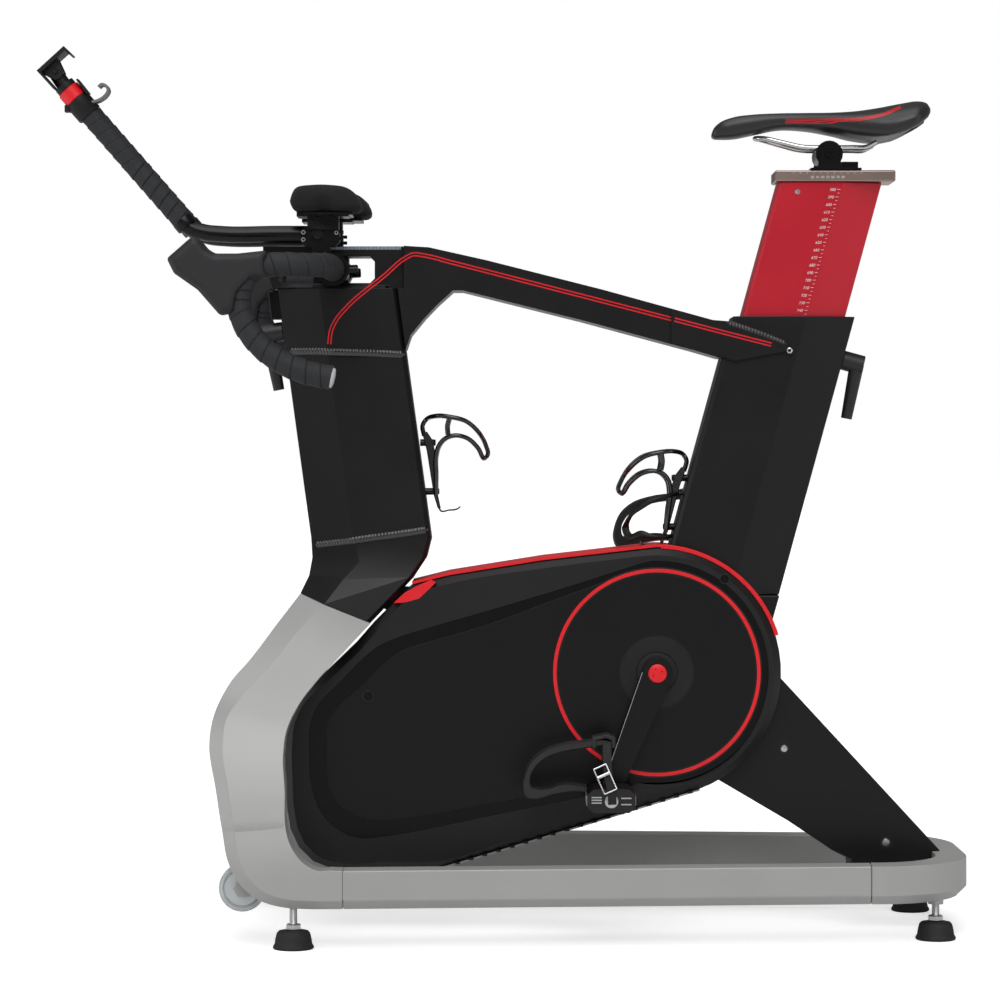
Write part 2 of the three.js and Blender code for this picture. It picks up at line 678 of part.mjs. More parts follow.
function makePedalAxle() {
  const z = CRANK_Z + pedalDrop;
  const face = CRANK_INNER + CRANK_THICKNESS + JOIN_GAP;
  const shaft = crossRod(pedalX, z, PEDAL_AXLE_RADIUS, -pedalInner - PEDAL_WIDTH + 6, -CRANK_INNER - 1, 20);
  return union(shaft, crossRod(pedalX, z, PEDAL_AXLE_RADIUS + 3, -pedalInner + 1, -face, 20));
}

function makePedal() {
  const z = CRANK_Z + pedalDrop;
  const half = PEDAL_LENGTH / 2;
  const tall = PEDAL_HEIGHT / 2;
  const outline = [
    [-half, -tall + 7], [-half + 8, -tall], [half - 8, -tall], [half, -tall + 7],
    [half, tall - 7], [half - 8, tall], [-half + 8, tall], [-half, tall - 7],
  ].map(([px, pz]) => [pedalX + px, z + pz]);
  const body = slab(outline, -pedalInner - PEDAL_WIDTH, -pedalInner);
  const bore = crossRod(
    pedalX, z, PEDAL_AXLE_RADIUS + RUN_GAP, -pedalInner - PEDAL_WIDTH + 5, -pedalInner + 1, 24,
  );
  return cut(body, bore);
}

// Toe clip: a band that runs forward from the pedal, round the toe and back, and a strap over the foot.
function makeToeClip() {
  const z = CRANK_Z + pedalDrop;
  const front = -PEDAL_LENGTH / 2 - JOIN_GAP;
  const outer = [
    [front, 12], [-40, 14], [-80, 8], [-108, 2], [-113, 8], [-110, 30], [-102, 49], [-84, 63], [-48, 69],
    [-12, 72], [4, 78], [4, 73],
  ];
  const inner = [[-12, 66], [-46, 62], [-78, 56], [-95, 44], [-101, 28], [-102, 12], [-80, 16], [-42, 22], [front, 20]];
  const centreY = -pedalInner - PEDAL_WIDTH / 2;
  const half = TOE_BAND_WIDTH / 2;
  const band = slab(outer.concat(inner).map(([px, pz]) => [pedalX + px, z + pz]), centreY - half, centreY + half);
  const low = z + PEDAL_AXLE_RADIUS + 4;
  const arch = (x, spread, bottom, top, topSpread) => [
    [-spread, bottom], [-spread, z + PEDAL_HEIGHT / 2 + 2], [-topSpread, top], [topSpread, top],
    [spread, z + PEDAL_HEIGHT / 2 + 2], [spread, bottom],
  ].map(([reach, height]) => point(x, centreY + reach, height));
  const inside = PEDAL_WIDTH / 2 + JOIN_GAP;
  const outside = inside + STRAP_THICKNESS;
  const strap = cut(
    loft([pedalX - 14, pedalX + 4].map((x) => arch(x, outside, low, z + 75, half))),
    loft([pedalX - 15, pedalX + 5].map((x) => arch(x, inside, low - 1, z + 72, half - STRAP_THICKNESS))),
  );
  return union(band, strap);
}

// ---------- flywheel and belt ----------

function makeFlywheel() {
  const bore = AXLE_RADIUS + RUN_GAP;
  const low = BELT_Y - BELT_WIDTH / 2;
  return turned(FLYWHEEL_X, FLYWHEEL_Z, [
    [bore, -18], [26, -18], [26, -FLYWHEEL_HALF], [FLYWHEEL_RADIUS - 3, -FLYWHEEL_HALF],
    [FLYWHEEL_RADIUS, -FLYWHEEL_HALF + 3], [FLYWHEEL_RADIUS, FLYWHEEL_HALF - 3],
    [FLYWHEEL_RADIUS - 3, FLYWHEEL_HALF], [26, FLYWHEEL_HALF], [18, low - 4], [18, low],
    [FLYWHEEL_PULLEY_RADIUS, low], [FLYWHEEL_PULLEY_RADIUS, low + BELT_WIDTH],
    [bore, low + BELT_WIDTH], [bore, -18],
  ], 30);
}

function makeFlywheelAxle() {
  const shaft = crossRod(FLYWHEEL_X, FLYWHEEL_Z, AXLE_RADIUS, HANGER_LEFT - 2, HANGER_RIGHT + 2);
  const nutLeft = crossRod(FLYWHEEL_X, FLYWHEEL_Z, 12, HANGER_LEFT - 5, HANGER_LEFT - JOIN_GAP, 6);
  const nutRight = crossRod(FLYWHEEL_X, FLYWHEEL_Z, 12, HANGER_RIGHT + JOIN_GAP, HANGER_RIGHT + 5, 6);
  return union(shaft, nutLeft, nutRight);
}

function makeBelt() {
  const low = BELT_Y - BELT_WIDTH / 2;
  const loop = (grow) => tangentOutline(
    0, CRANK_Z, DRIVE_PULLEY_RADIUS + grow, FLYWHEEL_X, FLYWHEEL_Z, FLYWHEEL_PULLEY_RADIUS + grow, 28,
  );
  return cut(
    slab(loop(JOIN_GAP + BELT_THICKNESS), low, low + BELT_WIDTH),
    slab(loop(JOIN_GAP), low - 1, low + BELT_WIDTH + 1),
  );
}

// ---------- covers ----------

const coverOutline = [
  ...arc(0, CRANK_Z, COVER_RADIUS, 90, -70, 26), [-206, 106], [-288, 82], [-429, 82], [-452, 91], [-471, 110],
  [-482, 134], [-486, 160], [-488, 200], [-489, 243], [-486, 275], [-473, 303], [-442, 333], [-398, 375],
  [-375, 401.5], [-321, 455], [-273, 467], [-148, 487],
];

function seatTubeSpace() {
  return loft([seatTubeRing(600, 1), seatTubeRing(SEAT_TUBE_BOTTOM - 1, 1)]);
}

function strutSpace() {
  return slab(inset(strutOutline, -1), -STRUT_HALF - 1, STRUT_HALF + 1);
}

function makeCover() {
  const ring = (distance, y) => sideRing(inset(coverOutline, distance), y);
  const outer = loft([ring(0, -JOIN_GAP), ring(0, -COVER_HALF + COVER_BEVEL), ring(COVER_BEVEL, -COVER_HALF)]);
  const wall = COVER_WALL;
  const hollow = loft([ring(wall, 1), ring(wall, -COVER_HALF + COVER_BEVEL), ring(COVER_BEVEL + 2, -COVER_HALF + wall)]);
  const spindleHole = crossRod(0, CRANK_Z, SPINDLE_RADIUS + 3, -COVER_HALF - 1, -COVER_HALF + wall + 1);
  const spineSpace = slab([[-330, 462], [-372, 416], [-350, 405], [-300, 440]], -20, 20);
  return cut(outer, hollow, spindleHole, seatTubeSpace(), strutSpace(), spineSpace);
}

// Strip along the top of both covers, from the neck to behind the seat tube.
function makeCoverTrim() {
  const run = [...arc(0, CRANK_Z, COVER_RADIUS, 17, 90, 16), ...[...coverOutline].slice(-3).reverse()];
  const lift = (grow) => run.map(([x, z], i) => {
    const before = run[Math.max(i - 1, 0)];
    const after = run[Math.min(i + 1, run.length - 1)];
    const along = new THREE.Vector2(after[0] - before[0], after[1] - before[1]).normalize();
    return [x + along.y * grow, z - along.x * grow];
  });
  const strip = slab([...lift(JOIN_GAP + 0.3), ...lift(4).reverse()], -56, 56);
  return cut(strip, seatTubeSpace(), strutSpace());
}

// ---------- bottle cages ----------

// A cage on a leaning face: spine, foot that holds the bottle's base, and a ring round the bottle.
function makeCage(face, side, low, high) {
  const at = (reach, z) => face(z) + side * reach;
  const spine = slab([[at(0.4, low), low], [at(0.4, high), high], [at(5.4, high), high], [at(5.4, low), low]], -6, 6);
  const foot = slab([
    [at(2, low), low], [at(2, low + 4), low + 4], [at(34, low + 4), low + 4], [at(37, low + 9), low + 9],
    [at(41, low + 9), low + 9], [at(38, low), low],
  ], -9, 9);
  const ringZ = high - 26;
  const radius = 37;
  const centre = 5.4 + radius;
  const points = Array.from({ length: 14 }, (_, i) => {
    const angle = (2 * Math.PI * i) / 14;
    const reach = centre - radius * Math.cos(angle);
    const z = ringZ + 22 * Math.sin(angle / 2) ** 2;
    return point(at(reach, z), radius * Math.sin(angle), z);
  });
  return union(spine, foot, bar(points, 4, 8, 28, true));
}

function columnRearFace(z) {
  return columnX(z) + COLUMN_DEPTH / 2;
}

function seatTubeFrontFace(z) {
  return seatX(z) - SEAT_TUBE_DEPTH / 2;
}

// ---------- feet and wheels ----------

function makeFoot(x, y) {
  const pad = rod(point(x, y, 0), point(x, y, FOOT_HEIGHT), FOOT_RADIUS, 32, FOOT_RADIUS - 6);
  const nut = rod(point(x, y, FOOT_HEIGHT - 1), point(x, y, FOOT_HEIGHT + 8), 9, 6);
  const stem = rod(point(x, y, FOOT_HEIGHT), point(x, y, BASE_BOTTOM + 30), STEM_RADIUS, 16);
  return union(pad, nut, stem);
}

function makeWheel() {
  const inner = BASE_FRONT_HALF - BASE_TUBE_WIDTH;
  const near = -inner + 4;
  const far = near + WHEEL_WIDTH;
  const bore = 5 + RUN_GAP;
  return turned(WHEEL_X, WHEEL_Z, [
    [bore, near], [WHEEL_RADIUS - 5, near], [WHEEL_RADIUS, near + 5], [WHEEL_RADIUS, far - 5],
    [WHEEL_RADIUS - 5, far], [bore, far], [bore, near],
  ]);
}

// ---------- seat ----------

function makePost() {
  const low = SEAT_TUBE_TOP - POST_INSERTION;
  const hollow = loft([postRing(POST_TOP - TUBE_WALL, -TUBE_WALL), postRing(low - 1, -TUBE_WALL)]);
  return cut(loft([postRing(POST_TOP), postRing(low)]), hollow);
}

const plateTop = POST_TOP + JOIN_GAP + PLATE_THICKNESS;

function makeRailPlate() {
  return block(158, 317, -36, 36, POST_TOP + JOIN_GAP, plateTop);
}

function makeCarriage() {
  const base = block(205, 272, -37, 37, plateTop + JOIN_GAP, plateTop + 3);
  const nose = block(248, 270, -12, 12, plateTop + 2, plateTop + 13);
  const earOutline = [[214, plateTop + 2], [246, plateTop + 2], [242, CLAMP_Z + 6], [236, CLAMP_Z + 10],
    [224, CLAMP_Z + 10], [218, CLAMP_Z + 6]];
  const ears = [slab(earOutline, -37, -31), slab(earOutline, 31, 37)];
  return union(base, nose, ...ears, crossRod(CLAMP_X, CLAMP_Z, 4, -39, 39, 20));
}

function makeClamp() {
  const drum = crossRod(CLAMP_X, CLAMP_Z, CLAMP_RADIUS, -30, 30);
  const railHoles = [-RAIL_Y, RAIL_Y].map((y) => rod(
    point(CLAMP_X - 40, y, CLAMP_Z + 9), point(CLAMP_X + 40, y, CLAMP_Z + 9), RAIL_RADIUS + 2 * SLIDE_GAP, 16,
  ));
  return cut(drum, crossRod(CLAMP_X, CLAMP_Z, 4 + RUN_GAP, -31, 31, 20), ...railHoles);
}

function makeRails() {
  const railZ = CLAMP_Z + 9;
  const left = [
    point(293, -30, 1038), point(280, -26, railZ), point(262, -RAIL_Y, railZ), point(230, -RAIL_Y, railZ),
    point(196, -RAIL_Y, railZ), point(168, -18, 1040), point(144, -11, 1046),
  ];
  const right = left.slice().reverse().map((p) => point(p.x, -p.y, p.z));
  return bar([...left, point(134, 0, 1047), ...right], RAIL_RADIUS, 8, 32);
}

// Places along the saddle: x, underside, top, half width.
const saddleStations = [
  [76, 1047, 1053, 10], [84, 1046, 1065, 17], [100, 1046, 1074, 20], [130, 1052, 1079, 22],
  [165, 1058, 1080, 26], [200, 1057, 1080, 33], [235, 1051, 1080, 45], [265, 1045, 1082, 57],
  [295, 1044, 1086, 67], [325, 1052, 1092, 72], [345, 1062, 1095, 68], [358, 1070, 1092, 54],
  [363, 1076, 1086, 36],
];

function makeSaddle() {
  const sides = 16;
  const ring = ([x, low, high, half]) => Array.from({ length: sides }, (_, i) => {
    const angle = (2 * Math.PI * i) / sides;
    const round = (value) => Math.sign(value) * Math.abs(value) ** 0.75;
    return point(x, half * round(Math.cos(angle)), (low + high) / 2 + ((high - low) / 2) * round(Math.sin(angle)));
  });
  return loft(saddleStations.map(ring));
}

const LEVER_REACH = 27;
const LEVER_DROP = 78;

// A lock lever: a round boss against a tube's face and a handle that hangs beside it.
function makeLever(x, z, side, lean) {
  const foot = point(x, 0, z);
  const head = point(x + side * LEVER_REACH, 0, z - side * LEVER_REACH * lean);
  const tip = point(x + side * 5, 0, z - LEVER_DROP);
  const boss = rod(foot, head, 13, 20);
  const handleTop = point(x + side * 19, 0, z - 6);
  return union(boss, rod(handleTop, tip, 10, 12, 7.5));
}

// ---------- bars ----------

const stemBottom = COLUMN_TOP - STEM_INSERTION;

// Handlebar post: the stem in the column and the slotted head on top of it.
function makeBarPost() {
  const play = COLUMN_WALL + SLIDE_GAP;
  const stem = cut(
    loft([columnRing(COLUMN_TOP + 4, play), columnRing(stemBottom, play)]),
    loft([columnRing(COLUMN_TOP - TUBE_WALL, play + TUBE_WALL), columnRing(stemBottom - 1, play + TUBE_WALL)]),
  );
  const headOutline = [
    [HEAD_FRONT_X, HEAD_TOP], [HEAD_FRONT_X, 886], [-508, COLUMN_TOP + 0.4], [-334, COLUMN_TOP + 0.4],
    [-334, HEAD_TOP],
  ];
  const head = slab(headOutline, -HEAD_HALF, HEAD_HALF);
  const slotOutline = [
    [-372, SLOT_HIGH - 6], [-378, SLOT_HIGH], [-495, SLOT_HIGH], [-501, SLOT_HIGH - 6],
    [-501, SLOT_LOW + 6], [-495, SLOT_LOW], [-378, SLOT_LOW], [-372, SLOT_LOW + 6],
  ];
  const slot = slab(slotOutline, -HEAD_HALF - 1, HEAD_HALF + 1);
  return cut(union(stem, head), slot);
}

// Block that slides in the slot and grips the handlebar.
function makeBarCarriage() {
  const low = SLOT_LOW + JOIN_GAP;
  const high = SLOT_HIGH - JOIN_GAP;
  const outline = [[BAR_X - 28, low], [BAR_X + 19, low], [BAR_X + 19, high], [BAR_X - 28, high]];
  return cut(slab(outline, -15, 15), crossRod(BAR_X, BAR_Z + 2, BAR_RADIUS + JOIN_GAP, -20, 20));
}

// The left half of the handlebar's centre line, from the middle to the end of the drop.
const barPath = [
  [0, 0, 2], [0, -60, 2], [-2, -140, 2], [-8, -178, 1], [-32, -199, 0], [-68, -BAR_HALF_WIDTH, 0],
  [-93, -BAR_HALF_WIDTH, -6], [-107, -BAR_HALF_WIDTH, -23], [-112, -BAR_HALF_WIDTH, -46], [-106, -206, -72],
  [-88, -207, -99], [-60, -208, -122], [-26, -209, -137], [6, -210, -144],
].map(([x, y, z]) => point(BAR_X + x, y, BAR_Z + z));

function makeHandlebar() {
  const right = barPath.slice(1).map((p) => point(p.x, -p.y, p.z));
  return bar([...barPath.slice().reverse(), ...right], BAR_RADIUS, 10, 48);
}

function leftBarSpace() {
  return bar(barPath.slice(2, 12), BAR_RADIUS + JOIN_GAP + 1.8, 10, 34);
}

const buttonPlace = { x: -600, z: 880 };

function makeHood() {
  const outline = [
    [-628, 875], [-619, 857], [-589, 836], [-561, 804], [-543, 808], [-537, 832], [-520, 850], [-502, 851],
    [-502, 885], [-539, 881], [-567, 881], [-577, 887], [-587, 899], [-596, 903],
  ];
  const middle = -BAR_HALF_WIDTH;
  const ring = (distance, y) => sideRing(inset(outline, distance), y);
  const body = loft([
    ring(6, middle - HOOD_HALF), ring(0, middle - HOOD_HALF + 7),
    ring(0, middle + HOOD_HALF - 7), ring(6, middle + HOOD_HALF),
  ]);
  const face = middle + HOOD_HALF;
  const recess = crossRod(buttonPlace.x, buttonPlace.z, BUTTON_RADIUS + SLIDE_GAP, face - 5, face + 1, 20);
  return cut(body, leftBarSpace(), recess);
}

// Gear button in the inboard face of the hood.
function makeButton() {
  const face = -BAR_HALF_WIDTH + HOOD_HALF;
  return crossRod(buttonPlace.x, buttonPlace.z, BUTTON_RADIUS, face - 3, face + 2, 20);
}

const AERO_BEND_X = -609;
const AERO_TIP = { x: -756, z: 1085 };
const aeroUp = point(AERO_TIP.x - AERO_BEND_X, 0, AERO_TIP.z - AERO_Z).normalize();

function aeroPoint(reach) {
  return point(AERO_BEND_X, -AERO_Y, AERO_Z).addScaledVector(aeroUp, reach);
}

const aeroLength = Math.hypot(AERO_TIP.x - AERO_BEND_X, AERO_TIP.z - AERO_Z);

function makeAeroBar() {
  const path = [
    point(-421, -AERO_Y, AERO_Z), point(-500, -AERO_Y, AERO_Z), point(-575, -AERO_Y, AERO_Z),
    point(-595, -AERO_Y, AERO_Z + 2), aeroPoint(14), aeroPoint(30), aeroPoint(aeroLength),
  ];
  return union(bar(path, AERO_RADIUS, 12, 20), rod(aeroPoint(22), aeroPoint(aeroLength - 4), AERO_TAPED_RADIUS, 14));
}

// Clamp that grips the handlebar, carries the aero extension and holds up the arm pad.
function makeAeroClamp() {
  const inner = -HEAD_HALF - 5;
  const outer = -AERO_Y - 14;
  const octagon = slab([[-468, 906], [-461, 900], [-424, 900], [-417, 906], [-417, 921], [-424, 927], [-461, 927],
    [-468, 921]], outer, inner);
  const neck = slab([[-455, 905], [-452, 885], [-428, 885], [-430, 905]], outer, inner);
  const grip = crossRod(BAR_X, BAR_Z + 2, BAR_RADIUS + 6.5, outer, inner);
  const riser = block(-459, -418, outer - 6, inner - 3, 922, 939);
  const table = block(-472, -404, -PAD_Y - 24, inner - 3, 938, TABLE_TOP);
  const extension = rod(point(-490, -AERO_Y, AERO_Z), point(-420, -AERO_Y, AERO_Z), AERO_RADIUS + JOIN_GAP + 0.2, 20);
  const hold = crossRod(BAR_X, BAR_Z + 2, BAR_RADIUS + JOIN_GAP + 0.2, outer - 10, inner + 10);
  return cut(union(octagon, neck, grip, riser, table), extension, hold);
}

function makeArmPad() {
  const outline = [
    [-484, 958], [-478, 974], [-466, 981], [-424, 981], [-404, 977], [-392, 966], [-384, 947], [-392, 938],
    [-470, 938], [-481, 945],
  ];
  const ring = (distance, y) => sideRing(inset(outline, distance), y);
  const half = PAD_WIDTH / 2;
  const body = loft([
    ring(9, -PAD_Y - half), ring(0, -PAD_Y - half + 12), ring(0, -PAD_Y + half - 12), ring(9, -PAD_Y + half),
  ]);
  return cut(body, block(-500, -370, -PAD_Y - half - 1, -PAD_Y + half + 1, 900, TABLE_TOP + JOIN_GAP));
}

const holderPivot = { x: -791, z: 1130 };
const JAW_ANGLE = 42.4;

function makeHolderArm() {
  const start = aeroPoint(aeroLength + 0.5);
  const collarEnd = aeroPoint(aeroLength + 38);
  const pivot = point(holderPivot.x, -AERO_Y, holderPivot.z);
  return union(
    rod(start, collarEnd, AERO_TAPED_RADIUS - 0.5, 16),
    rod(aeroPoint(aeroLength + 30), pivot, 7, 16),
    crossRod(holderPivot.x, holderPivot.z, 9, -AERO_Y - 7, -AERO_Y + 7, 20),
    crossRod(holderPivot.x, holderPivot.z, 3, -AERO_Y - 15, -AERO_Y + 15, 20),
  );
}

// A place on the jaw: run along its plate, and rise from the pivot square to the plate.
function jawPoint(run, rise) {
  const plateAngle = THREE.MathUtils.degToRad(JAW_ANGLE);
  return [
    holderPivot.x + run * Math.cos(plateAngle) - rise * Math.sin(plateAngle),
    holderPivot.z + run * Math.sin(plateAngle) + rise * Math.cos(plateAngle),
  ];
}

// Tilting jaw: a fork round the pivot, and a back plate with a lip at each end.
function makeHolderJaw() {
  const plate = [[-17, 16], [-17, -17], [-14, -17], [-14, 10.5], [28, 10.5], [29, 2], [32, 2], [31, 16]];
  const cheek = [[-14, 11], [-8, -8], [0, -11], [8, -8], [14, 11]];
  const [plateOutline, cheekOutline] = [plate, cheek].map((list) => list.map((place) => jawPoint(...place)));
  const body = union(
    slab(plateOutline, -AERO_Y - 22, -AERO_Y + 22),
    slab(cheekOutline, -AERO_Y - 13, -AERO_Y - 7.6),
    slab(cheekOutline, -AERO_Y + 7.6, -AERO_Y + 13),
  );
  return cut(body, crossRod(holderPivot.x, holderPivot.z, 3 + RUN_GAP, -AERO_Y - 30, -AERO_Y + 30, 20));
}

// ---------- assembly ----------

add('front_column', makeFrontColumn(), blackPaint);
add('top_tube', makeTopTube(), blackPaint);
add('seat_tube', makeSeatTube(), blackPaint);
add('rear_strut', makeStrut(), blackPaint);
add('lower_spine', makeSpine(), blackPaint);
addPair('front_leg', makeLeg(), silverPaint);
addPair('base_tube', makeBaseTube(), silverPaint);
add('base_rear_loop', makeBaseLoop(), silverPaint);
add('bearing_left', makeBearing(-1), steel);
add('bearing_right', makeBearing(1), steel);
addPair('drive_cover', makeCover(), blackPlastic);
add('cover_top_trim', makeCoverTrim(), redPlastic);
add('bottle_cage_front', makeCage(columnRearFace, 1, 553, 668), blackPlastic);
add('bottle_cage_rear', makeCage(seatTubeFrontFace, -1, 522, 632), blackPlastic);
addPair('foot_front', makeFoot(FRONT_FOOT_X, -frontTubeY), rubber);
addPair('foot_rear', makeFoot(REAR_FOOT_X, -REAR_FOOT_Y), rubber);
addPair('transport_wheel', makeWheel(), clearWheel);

add('crank_spindle', makeSpindle(), steel);
add('drive_pulley', makeDrivePulley(), castIron);
add('crank_left', makeCrank(), blackPaint);
add('pedal_axle_left', makePedalAxle(), steel);
add('pedal_left', makePedal(), blackPlastic);
add('toe_clip_left', makeToeClip(), blackPlastic);

// The right crank points the other way, and the right pedal sits at its end.
const crankRight = addMirrored('crank_right', makeCrank(), blackPaint);
crankRight.rotation.y = Math.PI;
crankRight.position.z = 2 * CRANK_Z;
const rightPedalPieces = [
  addMirrored('pedal_axle_right', makePedalAxle(), steel),
  addMirrored('pedal_right', makePedal(), blackPlastic),
  addMirrored('toe_clip_right', makeToeClip(), blackPlastic),
];
rightPedalPieces.forEach((piece) => piece.position.set(-2 * pedalX, 0, -2 * pedalDrop));

add('flywheel', makeFlywheel(), castIron);
add('flywheel_axle', makeFlywheelAxle(), steel);
add('drive_belt', makeBelt(), rubber);
add('brake_arm', makeBrakeArm(), steel);

add('seat_post', makePost(), redPaint);
add('seat_rail_plate', makeRailPlate(), plateMetal);
add('saddle_carriage', makeCarriage(), blackPaint);
add('saddle_clamp', makeClamp(), blackPaint);
add('saddle_rails', makeRails(), steel);
add('saddle', makeSaddle(), rubber);
add('seat_lock_lever', makeLever(seatX(752) + SEAT_TUBE_DEPTH / 2 + 1, 752, 1, SEAT_LEAN), blackPlastic);
add('bar_lock_lever', makeLever(columnX(790) - COLUMN_DEPTH / 2 - 1, 790, -1, -COLUMN_LEAN), blackPlastic);

add('bar_post', makeBarPost(), blackPaint);
add('bar_carriage', makeBarCarriage(), blackPaint);
add('handlebar', makeHandlebar(), rubber);
addPair('hood', makeHood(), rubber);
addPair('shift_button', makeButton(), blackPlastic);
addPair('aero_clamp', makeAeroClamp(), blackPaint);
addPair('aero_bar', makeAeroBar(), blackPaint);
add('arm_pad_left', makeArmPad(), rubber);
addMirrored('arm_pad_right', makeArmPad(), rubber).position.x = RIGHT_PAD_SETBACK;
add('holder_arm', makeHolderArm(), blackPlastic);
add('holder_jaw', makeHolderJaw(), blackPlastic);

// The origin is the middle of the footprint box, on the floor.
const box = new THREE.Box3().setFromObject(bike);
bike.position.x = -(box.min.x + box.max.x) / 2;
bike.position.y = -(box.min.y + box.max.y) / 2;
bike.updateMatrixWorld(true);

export default bike;
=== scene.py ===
"""Indoor spin bike: the finish and the fine parts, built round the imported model.

Metres, +Z up, +X to the rear, -Y the rider's left.
"""
import json
import math

import bmesh
import bpy
import mathutils
import mathutils.bvhtree
import numpy as np
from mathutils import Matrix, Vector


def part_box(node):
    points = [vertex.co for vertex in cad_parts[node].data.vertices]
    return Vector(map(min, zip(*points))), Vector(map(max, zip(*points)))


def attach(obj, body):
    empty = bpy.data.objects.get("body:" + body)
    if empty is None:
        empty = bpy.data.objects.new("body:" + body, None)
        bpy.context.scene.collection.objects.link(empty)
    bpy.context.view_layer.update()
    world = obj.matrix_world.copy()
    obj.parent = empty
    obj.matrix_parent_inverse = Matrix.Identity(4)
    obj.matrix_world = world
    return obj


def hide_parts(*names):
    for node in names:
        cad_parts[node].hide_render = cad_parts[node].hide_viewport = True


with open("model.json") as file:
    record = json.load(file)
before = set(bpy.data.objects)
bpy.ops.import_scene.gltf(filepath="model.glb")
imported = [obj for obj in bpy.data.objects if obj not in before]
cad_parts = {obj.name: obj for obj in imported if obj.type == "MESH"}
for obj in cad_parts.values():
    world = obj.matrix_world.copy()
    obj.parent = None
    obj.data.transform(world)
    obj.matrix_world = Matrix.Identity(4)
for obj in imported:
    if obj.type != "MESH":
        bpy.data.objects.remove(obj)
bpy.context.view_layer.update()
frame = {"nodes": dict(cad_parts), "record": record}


# ---------- camera ----------
# The bike is seen square from its left side, through a long lens at half its height,
# with the lens dropped a little so that the floor stays in view.
EYE_BESIDE, EYE_AWAY, EYE_HEIGHT = -0.0018, 4.477, 0.6375


def linked(name, data):
    """A new object with the given data, put into the scene at the origin."""
    thing = bpy.data.objects.new(name, data)
    bpy.context.scene.collection.objects.link(thing)
    return thing


camera = linked("side_camera", bpy.data.cameras.new("side_camera"))
camera.location = (EYE_BESIDE, -EYE_AWAY, EYE_HEIGHT)
camera.rotation_euler = (math.pi / 2, 0, 0)
camera.data.sensor_width = 36
camera.data.lens = 120.96
camera.data.shift_y = -0.054
bpy.context.scene.camera = camera
bpy.context.scene.view_settings.view_transform = "Standard"


# ---------- floor and light ----------
# A pale seamless floor, an even white room, one large soft light high on the left
# front and two long strips that draw the edges of the dark tubes.
def linear(colour):
    """An sRGB hex colour as linear red, green, blue and full alpha."""
    share = np.array([int(colour[i:i + 2], 16) for i in (1, 3, 5)]) / 255
    curved = np.where(share <= 0.04045, share / 12.92, ((share + 0.055) / 1.055) ** 2.4)
    return (*curved.tolist(), 1.0)


def add_node(tree, kind, sockets=None, **settings):
    """A shader node with its settings; a socket takes a value or another node's output."""
    node = tree.nodes.new(kind)
    for key, value in settings.items():
        setattr(node, key, value)
    for key, value in (sockets or {}).items():
        if isinstance(value, bpy.types.NodeSocket):
            tree.links.new(value, node.inputs[key])
        else:
            node.inputs[key].default_value = value
    return node


def soft_light(name, spot, aim, width, height, power):
    """A rectangular cloth light at a spot, turned towards its aim, in metres and watts."""
    light = linked(name, bpy.data.lights.new(name, "AREA"))
    light.data.shape = "RECTANGLE"
    light.data.size, light.data.size_y, light.data.energy = width, height, power
    light.location = spot
    direction = np.array(aim) - np.array(spot)
    light.rotation_euler = (math.acos(-direction[2] / np.linalg.norm(direction)), 0,
                            math.atan2(direction[1], direction[0]) - math.pi / 2)


soft_light("key", (-2.4, -3.0, 2.6), (0, 0, 0.5), 2.2, 1.6, 6)
soft_light("rear_strip", (3.0, -1.6, 1.4), (0, 0, 0.7), 0.7, 2.4, 8)
soft_light("front_strip", (-3.2, -0.6, 1.2), (0, 0, 0.6), 0.7, 2.4, 16)


def wide_sun(name, strength, spread, tilt, roll):
    """A sun as soft as a wall of cloth: 'spread' across, its tilt from the vertical and
    its roll to the side in degrees."""
    sun = linked(name, bpy.data.lights.new(name, "SUN"))
    sun.data.energy, sun.data.angle = strength, math.radians(spread)
    sun.rotation_euler = (math.radians(tilt), math.radians(roll), 0)


wide_sun("ceiling_cloth", 0.9, 50, 4, -8)
wide_sun("wall_cloth", 1.55, 45, 46, 0)

# The room is white where the camera looks and grey where it lights, as between flags.
bpy.context.scene.world = bpy.data.worlds.new("white_room")
bpy.context.scene.world.use_nodes = True
room = bpy.context.scene.world.node_tree
seen = add_node(room, "ShaderNodeLightPath").outputs["Is Camera Ray"]
grey = add_node(room, "ShaderNodeBackground", {"Color": linear("#ffffff"), "Strength": 0.16})
white = add_node(room, "ShaderNodeBackground", {"Color": linear("#ffffff"), "Strength": 1.0})
both = add_node(room, "ShaderNodeMixShader", {0: seen, 1: grey.outputs[0], 2: white.outputs[0]})
room.links.new(both.outputs[0], room.nodes["World Output"].inputs["Surface"])

FLOOR_HALF = 40.0
floor_mesh = bpy.data.meshes.new("floor")
floor_mesh.from_pydata([(x * FLOOR_HALF, y * FLOOR_HALF, 0) for x, y in ((-1, -1), (1, -1), (1, 1), (-1, 1))],
                       [], [(0, 1, 2, 3)])
# Matt painted board, so that shadows on it stay soft and it runs into the room's white.
floor_paint = bpy.data.materials.new("matt_painted_board")
floor_paint.use_nodes = True
floor_shader = floor_paint.node_tree.nodes["Principled BSDF"]
floor_shader.inputs["Emission Color"].default_value = linear("#ffffff")
camera_ray = add_node(floor_paint.node_tree, "ShaderNodeLightPath").outputs["Is Camera Ray"]
glow = add_node(floor_paint.node_tree, "ShaderNodeMath", {0: camera_ray, 1: 0.55}, operation="MULTIPLY")
floor_paint.node_tree.links.new(glow.outputs[0], floor_shader.inputs["Emission Strength"])
floor_shader.inputs["Base Color"].default_value = linear("#ececec")
floor_shader.inputs["Roughness"].default_value = 0.7
floor_mesh.materials.append(floor_paint)
linked("floor", floor_mesh)


